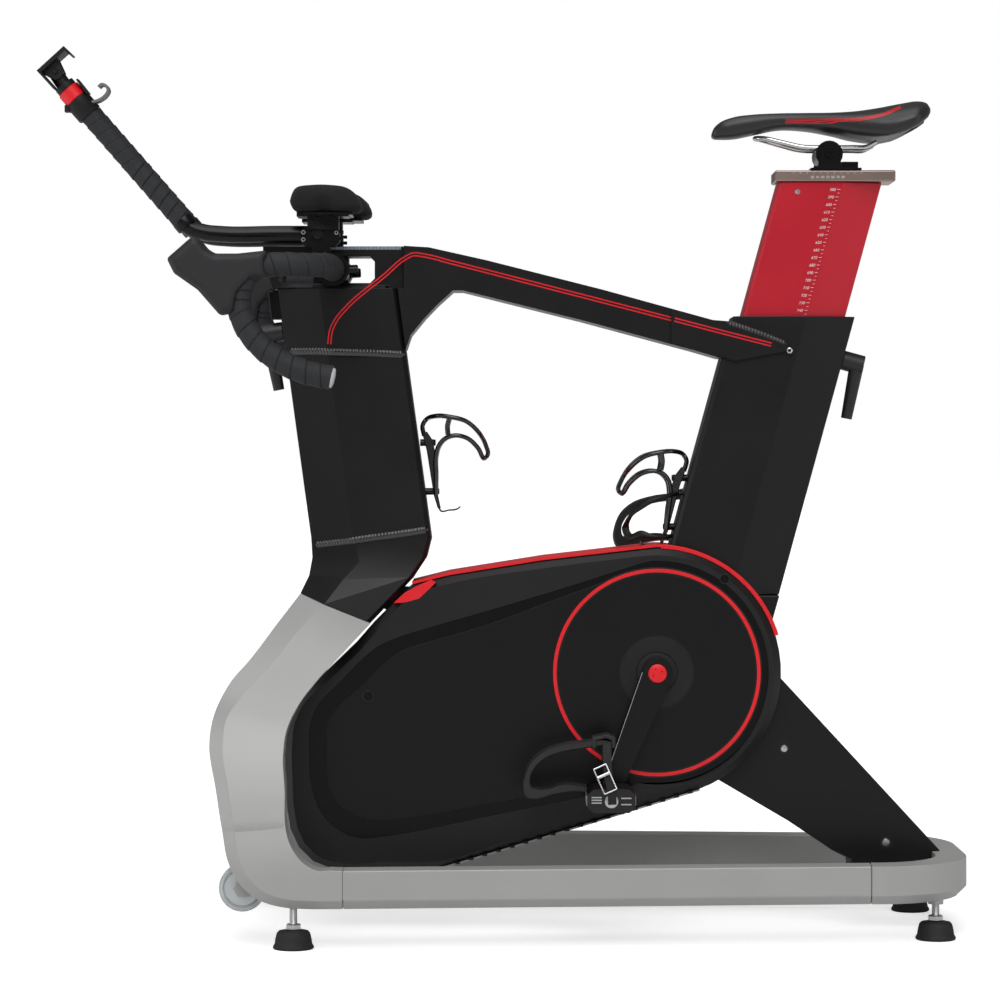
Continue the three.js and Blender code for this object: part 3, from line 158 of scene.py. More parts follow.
# ---------- base: legs, side tubes and rear loop ----------
# Welded steel tube, blasted and powder coated in a satin silver. The welds are dressed
# nearly flat before the coat, so they show as low ripples under it.
CRANK_X = np.mean(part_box("crank_spindle"), axis=0)[0]
SIDES = (("left", -1), ("right", 1))


def place(points):
    """Millimetres from the crank axle (x), the middle (y) and the floor (z), as metres."""
    return np.asarray(points, float) / 1000 + (CRANK_X, 0, 0)


def coated(name, colour, roughness, metallic=0.0, coat=0.0, grain=2.0, depth=0.02, drift=0.05, ior=None):
    """A finish with a grain of the given size and depth in mm, and slow drifts of
    gloss and of shade over a hand's width."""
    look = bpy.data.materials.new(name)
    look.use_nodes = True
    tree = look.node_tree
    shader = tree.nodes["Principled BSDF"]
    shader.inputs["Metallic"].default_value = metallic
    shader.inputs["Coat Weight"].default_value = coat
    shader.inputs["Coat Roughness"].default_value = 0.15
    if ior:
        shader.inputs["IOR"].default_value = ior
    where = add_node(tree, "ShaderNodeTexCoord").outputs["Object"]
    fine = add_node(tree, "ShaderNodeTexNoise", {"Vector": where, "Scale": 1000 / grain, "Detail": 2.0})
    slow = add_node(tree, "ShaderNodeTexNoise", {"Vector": where, "Scale": 11.0, "Detail": 3.0})
    base = np.array(linear(colour))
    ramp = add_node(tree, "ShaderNodeValToRGB", {"Fac": slow.outputs["Fac"]})
    ramp.color_ramp.elements[0].position = 0.3
    ramp.color_ramp.elements[1].position = 0.7
    ramp.color_ramp.elements[0].color = (*(base[:3] * (1 - drift)), 1)
    ramp.color_ramp.elements[1].color = (*np.minimum(base[:3] * (1 + drift), 1), 1)
    tree.links.new(ramp.outputs["Color"], shader.inputs["Base Color"])
    gloss = add_node(tree, "ShaderNodeMapRange", {
        "Value": slow.outputs["Fac"], "From Min": 0.3, "From Max": 0.7,
        "To Min": roughness * 0.92, "To Max": min(roughness * 1.1, 1.0),
    })
    tree.links.new(gloss.outputs["Result"], shader.inputs["Roughness"])
    bump = add_node(tree, "ShaderNodeBump", {
        "Height": fine.outputs["Fac"], "Distance": depth / 1000, "Strength": 1.0,
    })
    tree.links.new(bump.outputs["Normal"], shader.inputs["Normal"])
    return look


def finish_mesh(name, mesh, look, body, round_mm=0.0, replaced=(), angle=32.0):
    """Puts a mesh into the scene as one piece of the bike, its edges rounded by a bevel."""
    piece = linked(name, mesh)
    mesh.materials.clear()
    mesh.materials.append(look)
    mesh.shade_smooth()
    mesh.set_sharp_from_angle(angle=math.radians(angle))
    if round_mm:
        bevel = piece.modifiers.new("rounded_edges", "BEVEL")
        bevel.width, bevel.segments, bevel.harden_normals = round_mm / 1000, 3, True
        bevel.limit_method, bevel.angle_limit = "ANGLE", math.radians(angle)
    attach(piece, body)
    if replaced:
        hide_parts(*replaced)
    return piece


BODY_OF = {node: body for body, nodes in frame["record"]["behaviour"]["bodies"].items() for node in nodes}


def merged(mesh, distance, whole_faces=False):
    """The mesh with its doubles merged and its faces outward; the triangles of each flat
    face are joined where asked."""
    shape = bmesh.new()
    shape.from_mesh(mesh)
    bmesh.ops.remove_doubles(shape, verts=shape.verts, dist=distance)
    if shape.calc_volume(signed=True) < 0:
        bmesh.ops.reverse_faces(shape, faces=shape.faces)
    if whole_faces:
        bmesh.ops.dissolve_limit(
            shape, angle_limit=math.radians(0.6), verts=shape.verts, edges=shape.edges, delimit={"NORMAL"})
    shape.to_mesh(mesh)
    shape.free()
    return mesh


def refined(node, look, round_mm, angle=32.0):
    """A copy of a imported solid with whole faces, so that its edges can be rounded."""
    mesh = merged(frame["nodes"][node].data.copy(), 2e-6, True)
    return finish_mesh(f"{node}_finished", mesh, look, BODY_OF[node], round_mm, (node,), angle)


def surface(name, grid, look, body, slot, loop_along=False, caps=True, round_mm=0.0, replaced=(), angle=32.0):
    """Quads between neighbours of a grid of points [along, around]; it closes around,
    and its ends are closed by a face each, or joined to each other."""
    rows, columns = grid.shape[:2]
    index = np.arange(rows * columns).reshape(rows, columns)
    beside = np.roll(index, -1, 1)
    after, after_beside = np.roll(index, -1, 0), np.roll(beside, -1, 0)
    quads = np.stack([index, beside, after_beside, after], -1)
    faces = quads[: rows if loop_along else rows - 1].reshape(-1, 4).tolist()
    if caps and not loop_along:
        faces += [index[0, ::-1].tolist(), index[-1].tolist()]
    mesh = bpy.data.meshes.new(name)
    mesh.from_pydata(grid.reshape(-1, 3).tolist(), [], faces)
    return finish_mesh(name, merged(mesh, 1e-7), look, body, round_mm, replaced, angle)


def smooth_path(points, count):
    """Catmull-Rom curve through the points, its knots spaced by chord length."""
    points = np.asarray(points, float)
    chord = np.r_[0, np.cumsum(np.linalg.norm(np.diff(points, axis=0), axis=1))]
    slopes = np.gradient(points, chord, axis=0)
    where = np.linspace(0, chord[-1], count)
    k = np.clip(np.searchsorted(chord, where, "right") - 1, 0, len(points) - 2)
    span = (chord[k + 1] - chord[k])[:, None]
    t = ((where - chord[k]) / span[:, 0])[:, None]
    return (
        (2 * t**3 - 3 * t**2 + 1) * points[k] + (t**3 - 2 * t**2 + t) * span * slopes[k]
        + (3 * t**2 - 2 * t**3) * points[k + 1] + (t**3 - t**2) * span * slopes[k + 1]
    )


def swept(path, wide, tall, side, sides=16, power=1.0):
    """Rings round a path: each point is the path plus wide.cos along 'side', made square
    to the path, plus tall.sin along their cross product. power below 1 squares the ring."""
    path = np.asarray(path, float)
    ahead = np.gradient(path, axis=0)
    ahead /= np.linalg.norm(ahead, axis=1)[:, None]
    side = np.broadcast_to(np.asarray(side, float), path.shape)
    across = side - (side * ahead).sum(1)[:, None] * ahead
    across /= np.linalg.norm(across, axis=1)[:, None]
    up = np.cross(ahead, across)
    turn = np.linspace(0, 2 * np.pi, sides, endpoint=False)
    cos, sin = (np.sign(f) * np.abs(f) ** power for f in (np.cos(turn), np.sin(turn)))
    wide, tall = (np.reshape(np.broadcast_to(r, (len(path), sides) if np.ndim(r) == 2 else len(path)),
                             (len(path), -1)) for r in (wide, tall))
    return path[:, None] + across[:, None] * (wide * cos)[..., None] + up[:, None] * (tall * sin)[..., None]


def rod(name, points, count, wide, tall, side, sides, look, body, slot, power=1.0, **more):
    """A ring swept along the smooth curve through points in mm."""
    grid = swept(smooth_path(place(points), count), wide, tall, side, sides, power)
    return surface(name, grid, look, body, slot, **more)


def bead(name, points, look, slot, half, height, ripple):
    """A weld bead: a low round cord whose height swells and dips once per ripple."""
    points = place(points)
    length = np.linalg.norm(np.diff(points, axis=0), axis=1).sum()
    path = smooth_path(points, max(24, int(length / ripple * 8)))
    run = np.linspace(0, length, len(path))
    swell = 0.72 + 0.28 * np.abs(np.cos(np.pi * run / ripple))
    taper = np.clip(np.minimum(run, length - run) / 0.004, 0.25, 1)
    grid = swept(path, height * swell * taper, half * (0.85 + 0.15 * swell) * taper, (0, 1, 0), 10)
    return surface(name, grid, look, "frame", slot)


def prism(name, outline, low, high, look, body, slot, round_mm=0.0, replaced=(), angle=32.0):
    """A side-view outline in mm carried straight across from y = low to y = high."""
    outline = np.asarray(outline, float)
    rings = [np.c_[outline[:, 0], np.full(len(outline), y), outline[:, 1]] for y in (low, high)]
    return surface(name, place(np.array(rings)), look, body, slot, round_mm=round_mm, replaced=replaced,
                   angle=angle)


def turned(name, centre, axis, profile, look, body, slot, sides=40, replaced=(), round_mm=0.0, angle=32.0):
    """A profile of [radius, distance along the axis] in mm, turned about an axis through
    a centre: its grid is centre + axis.distance + radius.(cos u + sin v)."""
    axis = np.asarray(axis, float) / np.linalg.norm(axis)
    first = np.cross(axis, (0.0, 0.0, 1.0) if abs(axis[2]) < 0.9 else (1.0, 0.0, 0.0))
    first /= np.linalg.norm(first)
    second = np.cross(axis, first)
    turn = np.linspace(0, 2 * np.pi, sides, endpoint=False)
    spokes = np.cos(turn)[:, None] * first + np.sin(turn)[:, None] * second
    radius, reach = np.asarray(profile, float).T
    grid = np.asarray(centre, float) + reach[:, None, None] * axis + radius[:, None, None] * spokes
    return surface(name, place(grid), look, body, slot, round_mm=round_mm, replaced=replaced, angle=angle)


# Bright zinc plate: sharp small highlights on screws and pins.
steel_zinc = coated("zinc_plated_steel", "#c4c4c6", 0.28, 1.0, grain=0.6, depth=0.004, drift=0.05)
zinc_part = (steel_zinc, "frame", "steel")
# Silver powder coat: a soft grey sheen with a fine orange peel.
silver_coat = coated("satin_silver_powder_coat", "#a4a4a3", 0.42, 0.12, grain=1.6, depth=0.012, drift=0.03)
silver_frame = (silver_coat, "frame", "silver_paint")
LEG_STATIONS = np.array([  # front edge x, z; crease x, z; rear edge x, z; outer y, inner y, bevel
    (-470, 442.5, -437, 429, -376, 404.5, 62, 0.5, 32), (-498, 405, -470, 395, -401, 378, 91.7, 30, 28),
    (-530, 361, -505, 350, -442, 334, 129.3, 75, 20), (-557, 328, -538, 315, -466, 302, 157.5, 108.2, 20),
    (-574, 290, -557, 285, -479, 272, 180, 133.6, 18), (-578, 255, -560, 250, -482, 243, 195, 152.1, 16),
    (-568, 199, -551, 199, -479, 199, 212, 171, 14), (-559, 150, -543, 150, -477, 152, 224, 184.1, 12),
    (-550, 108, -536, 114, -468, 127, 231, 191.1, 12), (-535, 81, -523, 91, -455, 111, 234.1, 194, 12),
    (-511, 62, -503, 74, -437, 101, 235, 195, 12), (-480, 53, -476, 65, -420, 101.5, 235, 195, 12),
    (-450, 51, -448, 63, -413, 101, 235, 195, 12), (-405, 51, -405, 63, -405, 101, 235, 195, 12)])
leg = smooth_path(LEG_STATIONS, 110)


def leg_grid(sign):
    """Ring k of a leg: rear, crease and bevelled front corner outside, then the two inside."""
    fx, fz, cx, cz, rx, rz, outer, inner, bevel = leg.T
    corners = [(rx, outer, rz), (cx, outer, cz), (fx, outer - bevel, fz), (fx, inner, fz), (rx, inner, rz)]
    return place(np.stack([np.stack([x, sign * y, z], -1) for x, y, z in corners], 1))


for side, sign in SIDES:
    surface(f"leg_shell_{side}", leg_grid(sign), *silver_frame, round_mm=2.6,
            replaced=(f"front_leg_{side}",), angle=15.0)
    refined(f"base_tube_{side}", silver_coat, 2.5)
    turned(f"wheel_pin_{side}", (-535, 190 * sign, 73), (0, -sign, 0),
           [(0.05, 0), (4.8, 0), (4.8, 23), (7.5, 23.5), (7.5, 26), (5.5, 27), (0.05, 27)], *zinc_part, 32)
    prism(f"wheel_lug_{side}", [(-531, 84), (-541, 82), (-546, 73), (-541, 64), (-531, 62), (-505, 68),
                                (-500, 88)],
          192 * sign, 196 * sign, *silver_frame, 0.8)
refined("base_rear_loop", silver_coat, 2.0, angle=24.0)
for name, sign in SIDES:
    line = np.array([(-478, 222.5, 156), (-500, 223, 155), (-530, 223.5, 153.5), (-542, 223, 152.5),
                     (-551, 217, 152), (-558, 211.5, 151)])
    bead(f"leg_weld_{name}", line * (1, sign, 1), silver_coat, "silver_paint", 0.0055, 0.0011, 0.004)


# ---------- front column, top tube, seat tube and strut ----------
# Large welded box sections in satin black. Rippled weld beads ring the column and the
# cheeks by the seat, and a doubled red line of film runs along both sides.

# Black powder coat: deep, with a broad low sheen and fine peel.
black_coat = coated("satin_black_powder_coat", "#121112", 0.36, grain=1.4, depth=0.010, drift=0.10, ior=1.36)
for node, width in (("front_column", 2.5), ("top_tube", 1.5), ("seat_tube", 2.5), ("rear_strut", 2.0)):
    refined(node, black_coat, width, angle=20.0)


def side_shift(line, distance):
    """A side-view line moved square to itself by a distance."""
    ahead = np.gradient(line, axis=0)
    ahead /= np.linalg.norm(ahead, axis=1)[:, None]
    return line + np.c_[-ahead[:, 1], ahead[:, 0]] * distance


def band(line, up, down):
    """The closed outline between a side-view line moved by 'up' and moved by 'down'."""
    return np.r_[side_shift(line, up), side_shift(line, down)[::-1]]


# Cut vinyl: an even, slightly glossy red.
red_film = coated("cut_red_vinyl_film", "#d8101f", 0.35, 0.0, 0.2, grain=0.8, depth=0.004, drift=0.04)
red_line = (red_film, "frame", "red_paint")
stripe = smooth_path([(-431.5, 772), (-429, 790), (-421, 806), (-409, 820), (-358, 863), (-332, 885),
                      (-321, 890.5), (-306, 889), (-270, 880), (-120, 841.5), (26, 803.8)], 220)
cheek_stripe = smooth_path([(24, 804.3), (80, 789.6), (152, 771.2)], 40)
for name, sign in SIDES:
    for k, shift in enumerate((-2.0, 2.0)):
        for piece, line, low in (("", stripe, 39.9), ("cheek_", cheek_stripe, 45.9)):
            outline = band(side_shift(line, shift), -0.9, 0.9)
            prism(f"red_line_{piece}{name}_{k}", outline, low * sign, (low + 0.45) * sign, *red_line)

# The black coat made lighter and glossier on the weld ripples: a painted highlight, so that they catch the
# light.
weld_painted_highlight_coat = coated("black_coat_lightened_as_weld_painted_highlight", "#2b2a2c", 0.26, 0.1, 0.5, grain=0.8, depth=0.01, drift=0.1)
for name, sign in SIDES:
    for weld, half, height, line in (
            ("column_top", 0.0048, 0.0030, [(-486, 16.6, 763), (-478, 20.4, 763), (-440, 37.4, 762.5),
                                            (-431, 40.8, 762), (-370, 40.6, 760), (-332, 40, 758)]),
            ("column_foot", 0.0048, 0.0028, [(-452, 16.4, 506), (-420, 30.8, 510), (-398, 40.7, 513),
                                             (-385, 40.9, 515), (-340, 41, 521), (-301, 40.3, 527)]),
            ("cheek", 0.0042, 0.0042, [(93, 43, 800), (120, 42.5, 792), (150, 42.5, 781), (172, 42.5, 772)])):
        bead(f"{weld}_weld_{name}", np.array(line) * (1, sign, 1), weld_painted_highlight_coat, "black_paint", half, height,
             0.0044)


def disc(name, centre, radius, low, high, look, body, slot, sides=48, round_mm=0.0, inner=0.0):
    """A flat round piece along Y: rings of the given radii at y = low and y = high, in mm,
    or a washer when an inner radius is given."""
    turn = np.linspace(0, 2 * np.pi, sides, endpoint=False)
    profile = [(radius, low), (radius, high)]
    if inner:
        profile += [(inner, high), (inner, low)]
    rings = [np.c_[centre[0] + r * np.cos(turn), np.full(sides, y), centre[1] + r * np.sin(turn)]
             for r, y in profile]
    return surface(name, place(np.array(rings)), look, body, slot, loop_along=bool(inner), round_mm=round_mm)


# Near-black matt plastic: the hub cone's own colour, and painted shade where thin rings, discs and blocks of
# it stand for the shade in grooves, slots, holes and screw recesses.
near_black_and_painted_shade = coated("near_black_plastic_and_painted_shade", "#050505", 0.7, grain=1.0, depth=0.01, drift=0.02)
near_black_and_painted_shade_part = (near_black_and_painted_shade, "frame", "black_plastic")
SCREW_HEAD = [(0.05, 2.6), (2.2, 2.5), (2.3, 1.2), (4.2, 1.1), (4.9, 0.3), (4.9, -2.0), (0.05, -2.0)]
for name, sign in SIDES:
    for k, (x, z) in enumerate([(170, 237), (305, 113)]):
        # A near-black disc round each screw head: painted shade of its recess.
        disc(f"strut_screw_seat_{name}_{k}", (x, z), 8.0, 29.6 * sign, 30.3 * sign, near_black_and_painted_shade, "frame",
             "black_paint", 32, 0.2)
        turned(f"strut_screw_{name}_{k}", (x, 30.3 * sign, z), (0, sign, 0), SCREW_HEAD, *zinc_part, 28)
    turned(f"cheek_eyelet_{name}", (176, 45.5 * sign, 763.5), (0, sign, 0),
           [(1.8, -2), (1.8, 1.2), (2.6, 2.0), (3.8, 1.4), (4.2, -2)], *zinc_part, 24)


# ---------- seat post, rail plate, saddle carriage and clamp ----------
# A red coated post with a height scale printed in white, a brushed plate screwed on top,
# and on it the black forged carriage with its round clamp, which tilts with the rails.

# Red powder coat: an even satin crimson.
red_coat = coated("satin_red_powder_coat", "#c01127", 0.34, 0.15, grain=1.4, depth=0.010, drift=0.05)
refined("seat_post", red_coat, 1.6)
# Brushed and anodised plate: warm grey metal with a soft gleam.
brushed_plate = coated("brushed_champagne_aluminium", "#a5938a", 0.34, 1.0, grain=0.5, depth=0.006,
                       drift=0.06)
refined("seat_rail_plate", brushed_plate, 2.2)
# Anodised forging: near black with tight highlights.
black_forging = coated("black_anodised_forged_aluminium", "#070708", 0.26, grain=1.6, depth=0.004,
                       drift=0.10, ior=1.36)
forged_part = (black_forging, "bars", "black_alloy")
for node in ("saddle_carriage", "saddle_clamp"):
    refined(node, black_forging, 0.8)
# Screen ink: flat off-white.
white_print = coated("screen_printed_white_ink", "#e4dcdb", 0.5, grain=0.7, depth=0.002, drift=0.03)
SEAT_LEAN, POST_CREASE_X, POST_CREASE_Z = 0.2736, 248.8, 987


def final_mesh(piece):
    """A mesh of what an object looks like after its modifiers."""
    return bpy.data.meshes.new_from_object(piece.evaluated_get(bpy.context.evaluated_depsgraph_get()))


def points_of(mesh):
    """The mesh's vertices as rows of x, y, z."""
    points = np.zeros(len(mesh.vertices) * 3)
    mesh.vertices.foreach_get("co", points)
    return points.reshape(-1, 3)


def printed(name, text, height, line_pitch, x, y, z, look, body, lean=0.0, lift=0.12):
    """Numbers printed on a side face in one column, each line moved along with the lean.
    y is the face's place, and the print stands proud of it by lift, all in mm."""
    curve = bpy.data.curves.new(name, "FONT")
    curve.body, curve.size, curve.align_x = text, height / 1000, "RIGHT"
    curve.space_line = line_pitch / height
    curve.extrude = lift / 2000
    writing = linked(name, curve)
    bpy.context.view_layer.update()
    mesh = final_mesh(writing)
    bpy.data.objects.remove(writing)
    across, up, out = points_of(mesh).T * 1000
    sign = math.copysign(1, y)
    moved = np.c_[x - sign * across + up * lean, y + sign * (out + lift / 2), z + up]
    mesh.vertices.foreach_set("co", place(moved).ravel())
    return finish_mesh(name, mesh, look, body)


def blocks(name, middles, sizes, look, body, slot):
    """Many small boxes as one piece: each corner is its middle plus or minus half its size."""
    corner = np.array([(i, j, k) for i in (-0.5, 0.5) for j in (-0.5, 0.5) for k in (-0.5, 0.5)])
    middles, sizes = np.asarray(middles, float), np.broadcast_to(np.asarray(sizes, float), (len(middles), 3))
    points = middles[:, None] + corner * sizes[:, None]
    sides = np.array([(0, 1, 3, 2), (4, 6, 7, 5), (0, 4, 5, 1), (2, 3, 7, 6), (0, 2, 6, 4), (1, 5, 7, 3)])
    faces = (sides[None] + 8 * np.arange(len(middles))[:, None, None]).reshape(-1, 4)
    mesh = bpy.data.meshes.new(name)
    mesh.from_pydata(place(points.reshape(-1, 3)).tolist(), [], faces.tolist())
    return finish_mesh(name, mesh, look, body)


def crease_x(z):
    """Where the post's leaning side crease is at a height, in mm."""
    return POST_CREASE_X + (z - POST_CREASE_Z) * SEAT_LEAN


POST_NUMBERS = "\n".join(str(580 + 10 * k) for k in range(17))
for name, sign in SIDES:
    y = 32 * sign
    printed(f"height_numbers_{name}", POST_NUMBERS, 5.2, 10.0, crease_x(975) - 7.5, y, 975, white_print,
            "seat_post", SEAT_LEAN)
    heights = 977 - 5.0 * np.arange(34)
    length = np.where(np.arange(34) % 2 == 0, 4.0, 2.4)
    middles = np.c_[crease_x(heights) - 1.6 - length / 2, np.full(34, y * 1.002), heights]
    blocks(f"height_marks_{name}", middles, np.c_[length, np.full(34, 0.25), np.full(34, 0.5)],
           white_print, "seat_post", "red_paint")
    turned(f"post_screw_{name}", (188, y, 974), (0, sign, 0), [(r * 0.7, h * 0.6) for r, h in SCREW_HEAD],
           steel_zinc, "seat_post", "steel", 28)
    blocks(f"plate_marks_{name}", [(182 + 9.0 * k, 36.05 * sign, 998.5) for k in range(11)],
           (0.5, 0.25, 2.6), white_print, "seat_post", "rail_plate")
    printed(f"plate_numbers_{name}", "20  30  40  50  60  70  80", 4.4, 5, 250 if y < 0 else 190,
            36.0 * sign, 991.5, white_print, "seat_post")
    turned(f"clamp_bolt_{name}", (230, 39 * sign, 1024), (0, sign, 0),
           [(0.05, 0.4), (2.4, 0.4), (2.8, 3.2), (5.2, 3.2), (5.8, 2.4), (5.8, -1.0), (0.05, -1.0)],
           black_forging, "saddle_carriage", "steel", 30)

# ---------- saddle ----------
# A moulded shell under a foam pad covered in smooth black synthetic leather, with three
# red pinstripes that sweep back along each flank, on steel rails.

# Chrome: mirror-like thin lines on the rails and buckles.
chromed = coated("chromed_steel", "#c9cacc", 0.16, 1.0, grain=0.5, depth=0.002, drift=0.04)
RAIL = [(293, -30, 1040), (280, -26, 1033.5), (262, -22, 1033), (230, -22, 1033), (196, -22, 1033.5),
        (168, -18, 1040), (144, -11, 1046), (134, 0, 1047)]
rail_line = np.array(RAIL + [(x, -y, z) for x, y, z in RAIL[-2::-1]])
rod("saddle_rail_bent", rail_line, 160, 0.0035, 0.0035, (0, 0, 1), 18, chromed, "saddle", "chrome",
    replaced=("saddle_rails",))

SADDLE_STATIONS = np.array([  # x, underside, top, half width
    [76, 1048, 1054, 9], [79, 1046, 1061, 13], [88, 1045.5, 1069, 18], [104, 1046, 1075, 20.5],
                            [130, 1051, 1079, 22],
    [165, 1058, 1080.5, 26], [200, 1057, 1080.5, 33], [235, 1051.5, 1080.5, 45], [265, 1045, 1082, 57],
    [295, 1044.5, 1086, 67], [325, 1052, 1091.5, 72], [345, 1062, 1094.5, 68], [357, 1069, 1093, 55],
    [363, 1076, 1087, 36]])
saddle_line = smooth_path(SADDLE_STATIONS, 150)
saddle_turn = np.linspace(0, 2 * np.pi, 96, endpoint=False)


def saddle_grid():
    """Ring k is a squared oval: y = half.cos^0.75, z = middle + tall.sin^0.8, with the top
    dished along the middle and the underside flattened."""
    x, low, high, half = saddle_line.T
    cos, sin = np.cos(saddle_turn), np.sin(saddle_turn)
    y = half[:, None] * np.sign(cos) * np.abs(cos) ** 0.75
    rise = np.where(sin > 0, np.abs(sin) ** 0.8, -np.abs(sin) ** 0.55)
    z = (low + high)[:, None] / 2 + (high - low)[:, None] / 2 * rise
    inward = np.exp(-(y / 9.0) ** 2) * np.clip(sin, 0, 1)
    z -= 2.6 * inward * np.clip((x - 110) / 60, 0, 1)[:, None] * np.clip((352 - x) / 25, 0, 1)[:, None]
    wing = np.clip((x - 215) / 90, 0, 1)[:, None]
    z -= 10.0 * wing * np.clip((np.abs(y) - 30) / 40, 0, 1) ** 1.6
    return np.stack([np.broadcast_to(x[:, None], y.shape), y, np.maximum(z, 1044.0)], -1)


# Embossed cover: a fine pebble and a soft gloss.
leather = coated("embossed_polyurethane_leather", "#1d1d1f", 0.42, 0.0, 0.12, grain=1.1, depth=0.035,
                 drift=0.07)
saddle_cover = saddle_grid()
saddle = surface("saddle_cover", place(saddle_cover), leather, "saddle", "saddle_cover",
                 replaced=("saddle",), angle=60)


def side_ribbon(name, grid, rows, lift, look, body, slot):
    """A thin strip on a surface: its rows of points are moved out and in by 'lift' along
    their normal, which points away from 'grid'."""
    normal = np.cross(np.gradient(rows, axis=0), np.gradient(rows, axis=1))
    normal /= np.linalg.norm(normal, axis=2, keepdims=True) + 1e-12
    outward = np.sign((normal * (rows - grid)).sum(2, keepdims=True).mean())
    top = rows + normal * outward * lift
    under = rows - normal * outward * lift
    ring = np.concatenate([top, under[:, ::-1]], 1)
    return surface(name, place(ring), look, body, slot, angle=60)


def on_saddle(x, share):
    """The saddle's surface in mm at places x along it and at shares of a turn round its ring,
    by straight interpolation in its grid."""
    row = np.interp(x, saddle_line[:, 0], np.arange(len(saddle_line)))
    column = (share * len(saddle_turn)) % len(saddle_turn)
    r, c = np.floor(row).astype(int), np.floor(column).astype(int)
    fr, fc = (row - r)[..., None], (column - c)[..., None]
    r1, c1 = np.minimum(r + 1, len(saddle_line) - 1), (c + 1) % len(saddle_turn)
    g = saddle_cover
    return (g[r, c] * (1 - fr) + g[r1, c] * fr) * (1 - fc) + (g[r, c1] * (1 - fr) + g[r1, c1] * fr) * fc


stripe_x = np.linspace(172, 322, 100)
for name, mirror in (("left", 1), ("right", -1)):
    for k in range(4):
        back = (stripe_x - 172) / 150
        share = 0.532 - 0.0125 * k * (1 - 0.4 * back) - 0.165 * back**2.0
        half = 0.0026 + 0.0002 * back
        rows = np.stack([on_saddle(stripe_x, share - half), on_saddle(stripe_x, share),
                         on_saddle(stripe_x, share + half)], 1)
        rows[..., 1] *= mirror
        middle = np.stack([rows[..., 0], rows[..., 1] * 0, rows[..., 2] * 0 + 1066], -1)
        side_ribbon(f"saddle_stripe_{name}_{k}", middle, rows, 0.22, red_film, "saddle", "saddle_cover")

# Moulded nylon: plain dark satin.
shell_plastic = coated("moulded_nylon", "#0d0d0e", 0.46, grain=1.6, depth=0.006, drift=0.06, ior=1.40)
rod("saddle_bumper", [(318, -60, 1052), (340, -50, 1062), (352, -26, 1068), (355, 0, 1070), (352, 26, 1068),
                      (340, 50, 1062), (318, 60, 1052)], 60, 0.0045, 0.0032, (0, 0, 1), 16, shell_plastic,
    "saddle", "black_plastic")


# ---------- lock levers ----------
# Moulded black handles on threaded bosses that press a shoe against each post.

# Glass-filled nylon: slightly rough and grey.
lever_plastic = coated("moulded_glass_filled_nylon", "#151516", 0.45, grain=1.2, depth=0.03, drift=0.06)
for node in ("seat_lock_lever", "bar_lock_lever"):
    refined(node, lever_plastic, 2.0, angle=40.0)


# ---------- drive covers ----------
# Two moulded halves over the flywheel and belt. Each face has a raised surround and a
# raised panel with a channel between them, a red ring inset round the crank and a
# stepped hub; air slots run along the lower edge.
# The channel floor, the grooves by the red ring and the hub, the two holes and the air slots are near-black
# pieces: painted shade.

# Moulded ABS with a spark-eroded grain: even dark satin.
moulded_cover = coated("moulded_black_abs", "#121113", 0.42, grain=1.4, depth=0.010, drift=0.08, ior=1.42)
cover_part = (moulded_cover, "frame", "black_plastic")
# The same ABS from a smoother mould: a shade darker and glossier.
panel_gloss = coated("moulded_black_abs_smooth", "#0b0b0c", 0.34, grain=1.4, depth=0.006, drift=0.06,
                     ior=1.34)
for side in ("left", "right"):
    refined(f"drive_cover_{side}", moulded_cover, 1.5, angle=30.0)
# Self-coloured ABS: bright even red.
red_moulding = coated("moulded_red_abs", "#e60f1d", 0.38, grain=0.9, depth=0.008, drift=0.04)
red_part = (red_moulding, "frame", "red_plastic")
refined("cover_top_trim", red_moulding, 0.6, angle=30.0)
COVER_FACE, CRANK_Z = 64.0, 340.0


def rear_arc(radius, count, first, last):
    """The part of a circle round the crank axle that faces the rear, from top to bottom."""
    turn = np.radians(np.linspace(first, last, count))
    return np.c_[radius * np.cos(turn), CRANK_Z + radius * np.sin(turn)]


surround_edge = np.r_[rear_arc(154, 48, 92, -70), smooth_path([
    (40, 192), (-30, 173), (-117, 143), (-206, 115.5), (-287, 92), (-350, 91.5), (-424, 91.5), (-446, 99.5),
    (-462, 117),
    (-472, 139), (-476.5, 163), (-478.5, 200), (-479, 243), (-476, 272), (-463, 300), (-433, 328),
    (-390, 368), (-366, 394), (-318, 444), (-273, 456.5), (-148, 477), (-20, 493)], 90)]
channel_outer = np.r_[rear_arc(147, 48, 92, -100), smooth_path([
    (-36, 190), (-120, 172), (-232, 149), (-318, 131), (-361, 124), (-390, 122), (-415, 131), (-434, 147),
    (-448, 170),
    (-455, 198), (-457, 238), (-455, 275), (-444, 300), (-423, 321), (-387, 358), (-366, 375), (-340, 386.5),
    (-300, 399), (-232, 418.5), (-120, 452), (-20, 484)], 90)]
channel_inner = np.r_[rear_arc(137, 48, 100, -104), smooth_path([
    (-46, 202), (-120, 186), (-232, 165), (-318, 150), (-352, 146), (-376, 146.5), (-400, 154), (-418, 167),
    (-429, 185), (-432.5, 204), (-433.5, 240), (-432.5, 272), (-423, 291), (-389, 322.5), (-360, 351),
    (-340, 366.5), (-318, 375), (-290, 383), (-232, 400), (-120, 441), (-36, 471)], 90)]


def lower_edge(x):
    """Height of the covers' lower edge in mm, made of two straight runs."""
    return np.interp(x, (-288, -206, 56), (82, 106, 186))


def plate_with_hole(name, outside, inside, low, high, look, body, slot, round_mm=0.6):
    """A flat ring between two closed side-view curves with as many points each."""
    rings = [np.c_[line[:, 0], np.full(len(line), y), line[:, 1]] for line, y in (
        (outside, low), (outside, high), (inside, high), (inside, low))]
    return surface(name, place(np.array(rings)), look, body, slot, loop_along=True, round_mm=round_mm,
                   angle=50.0)
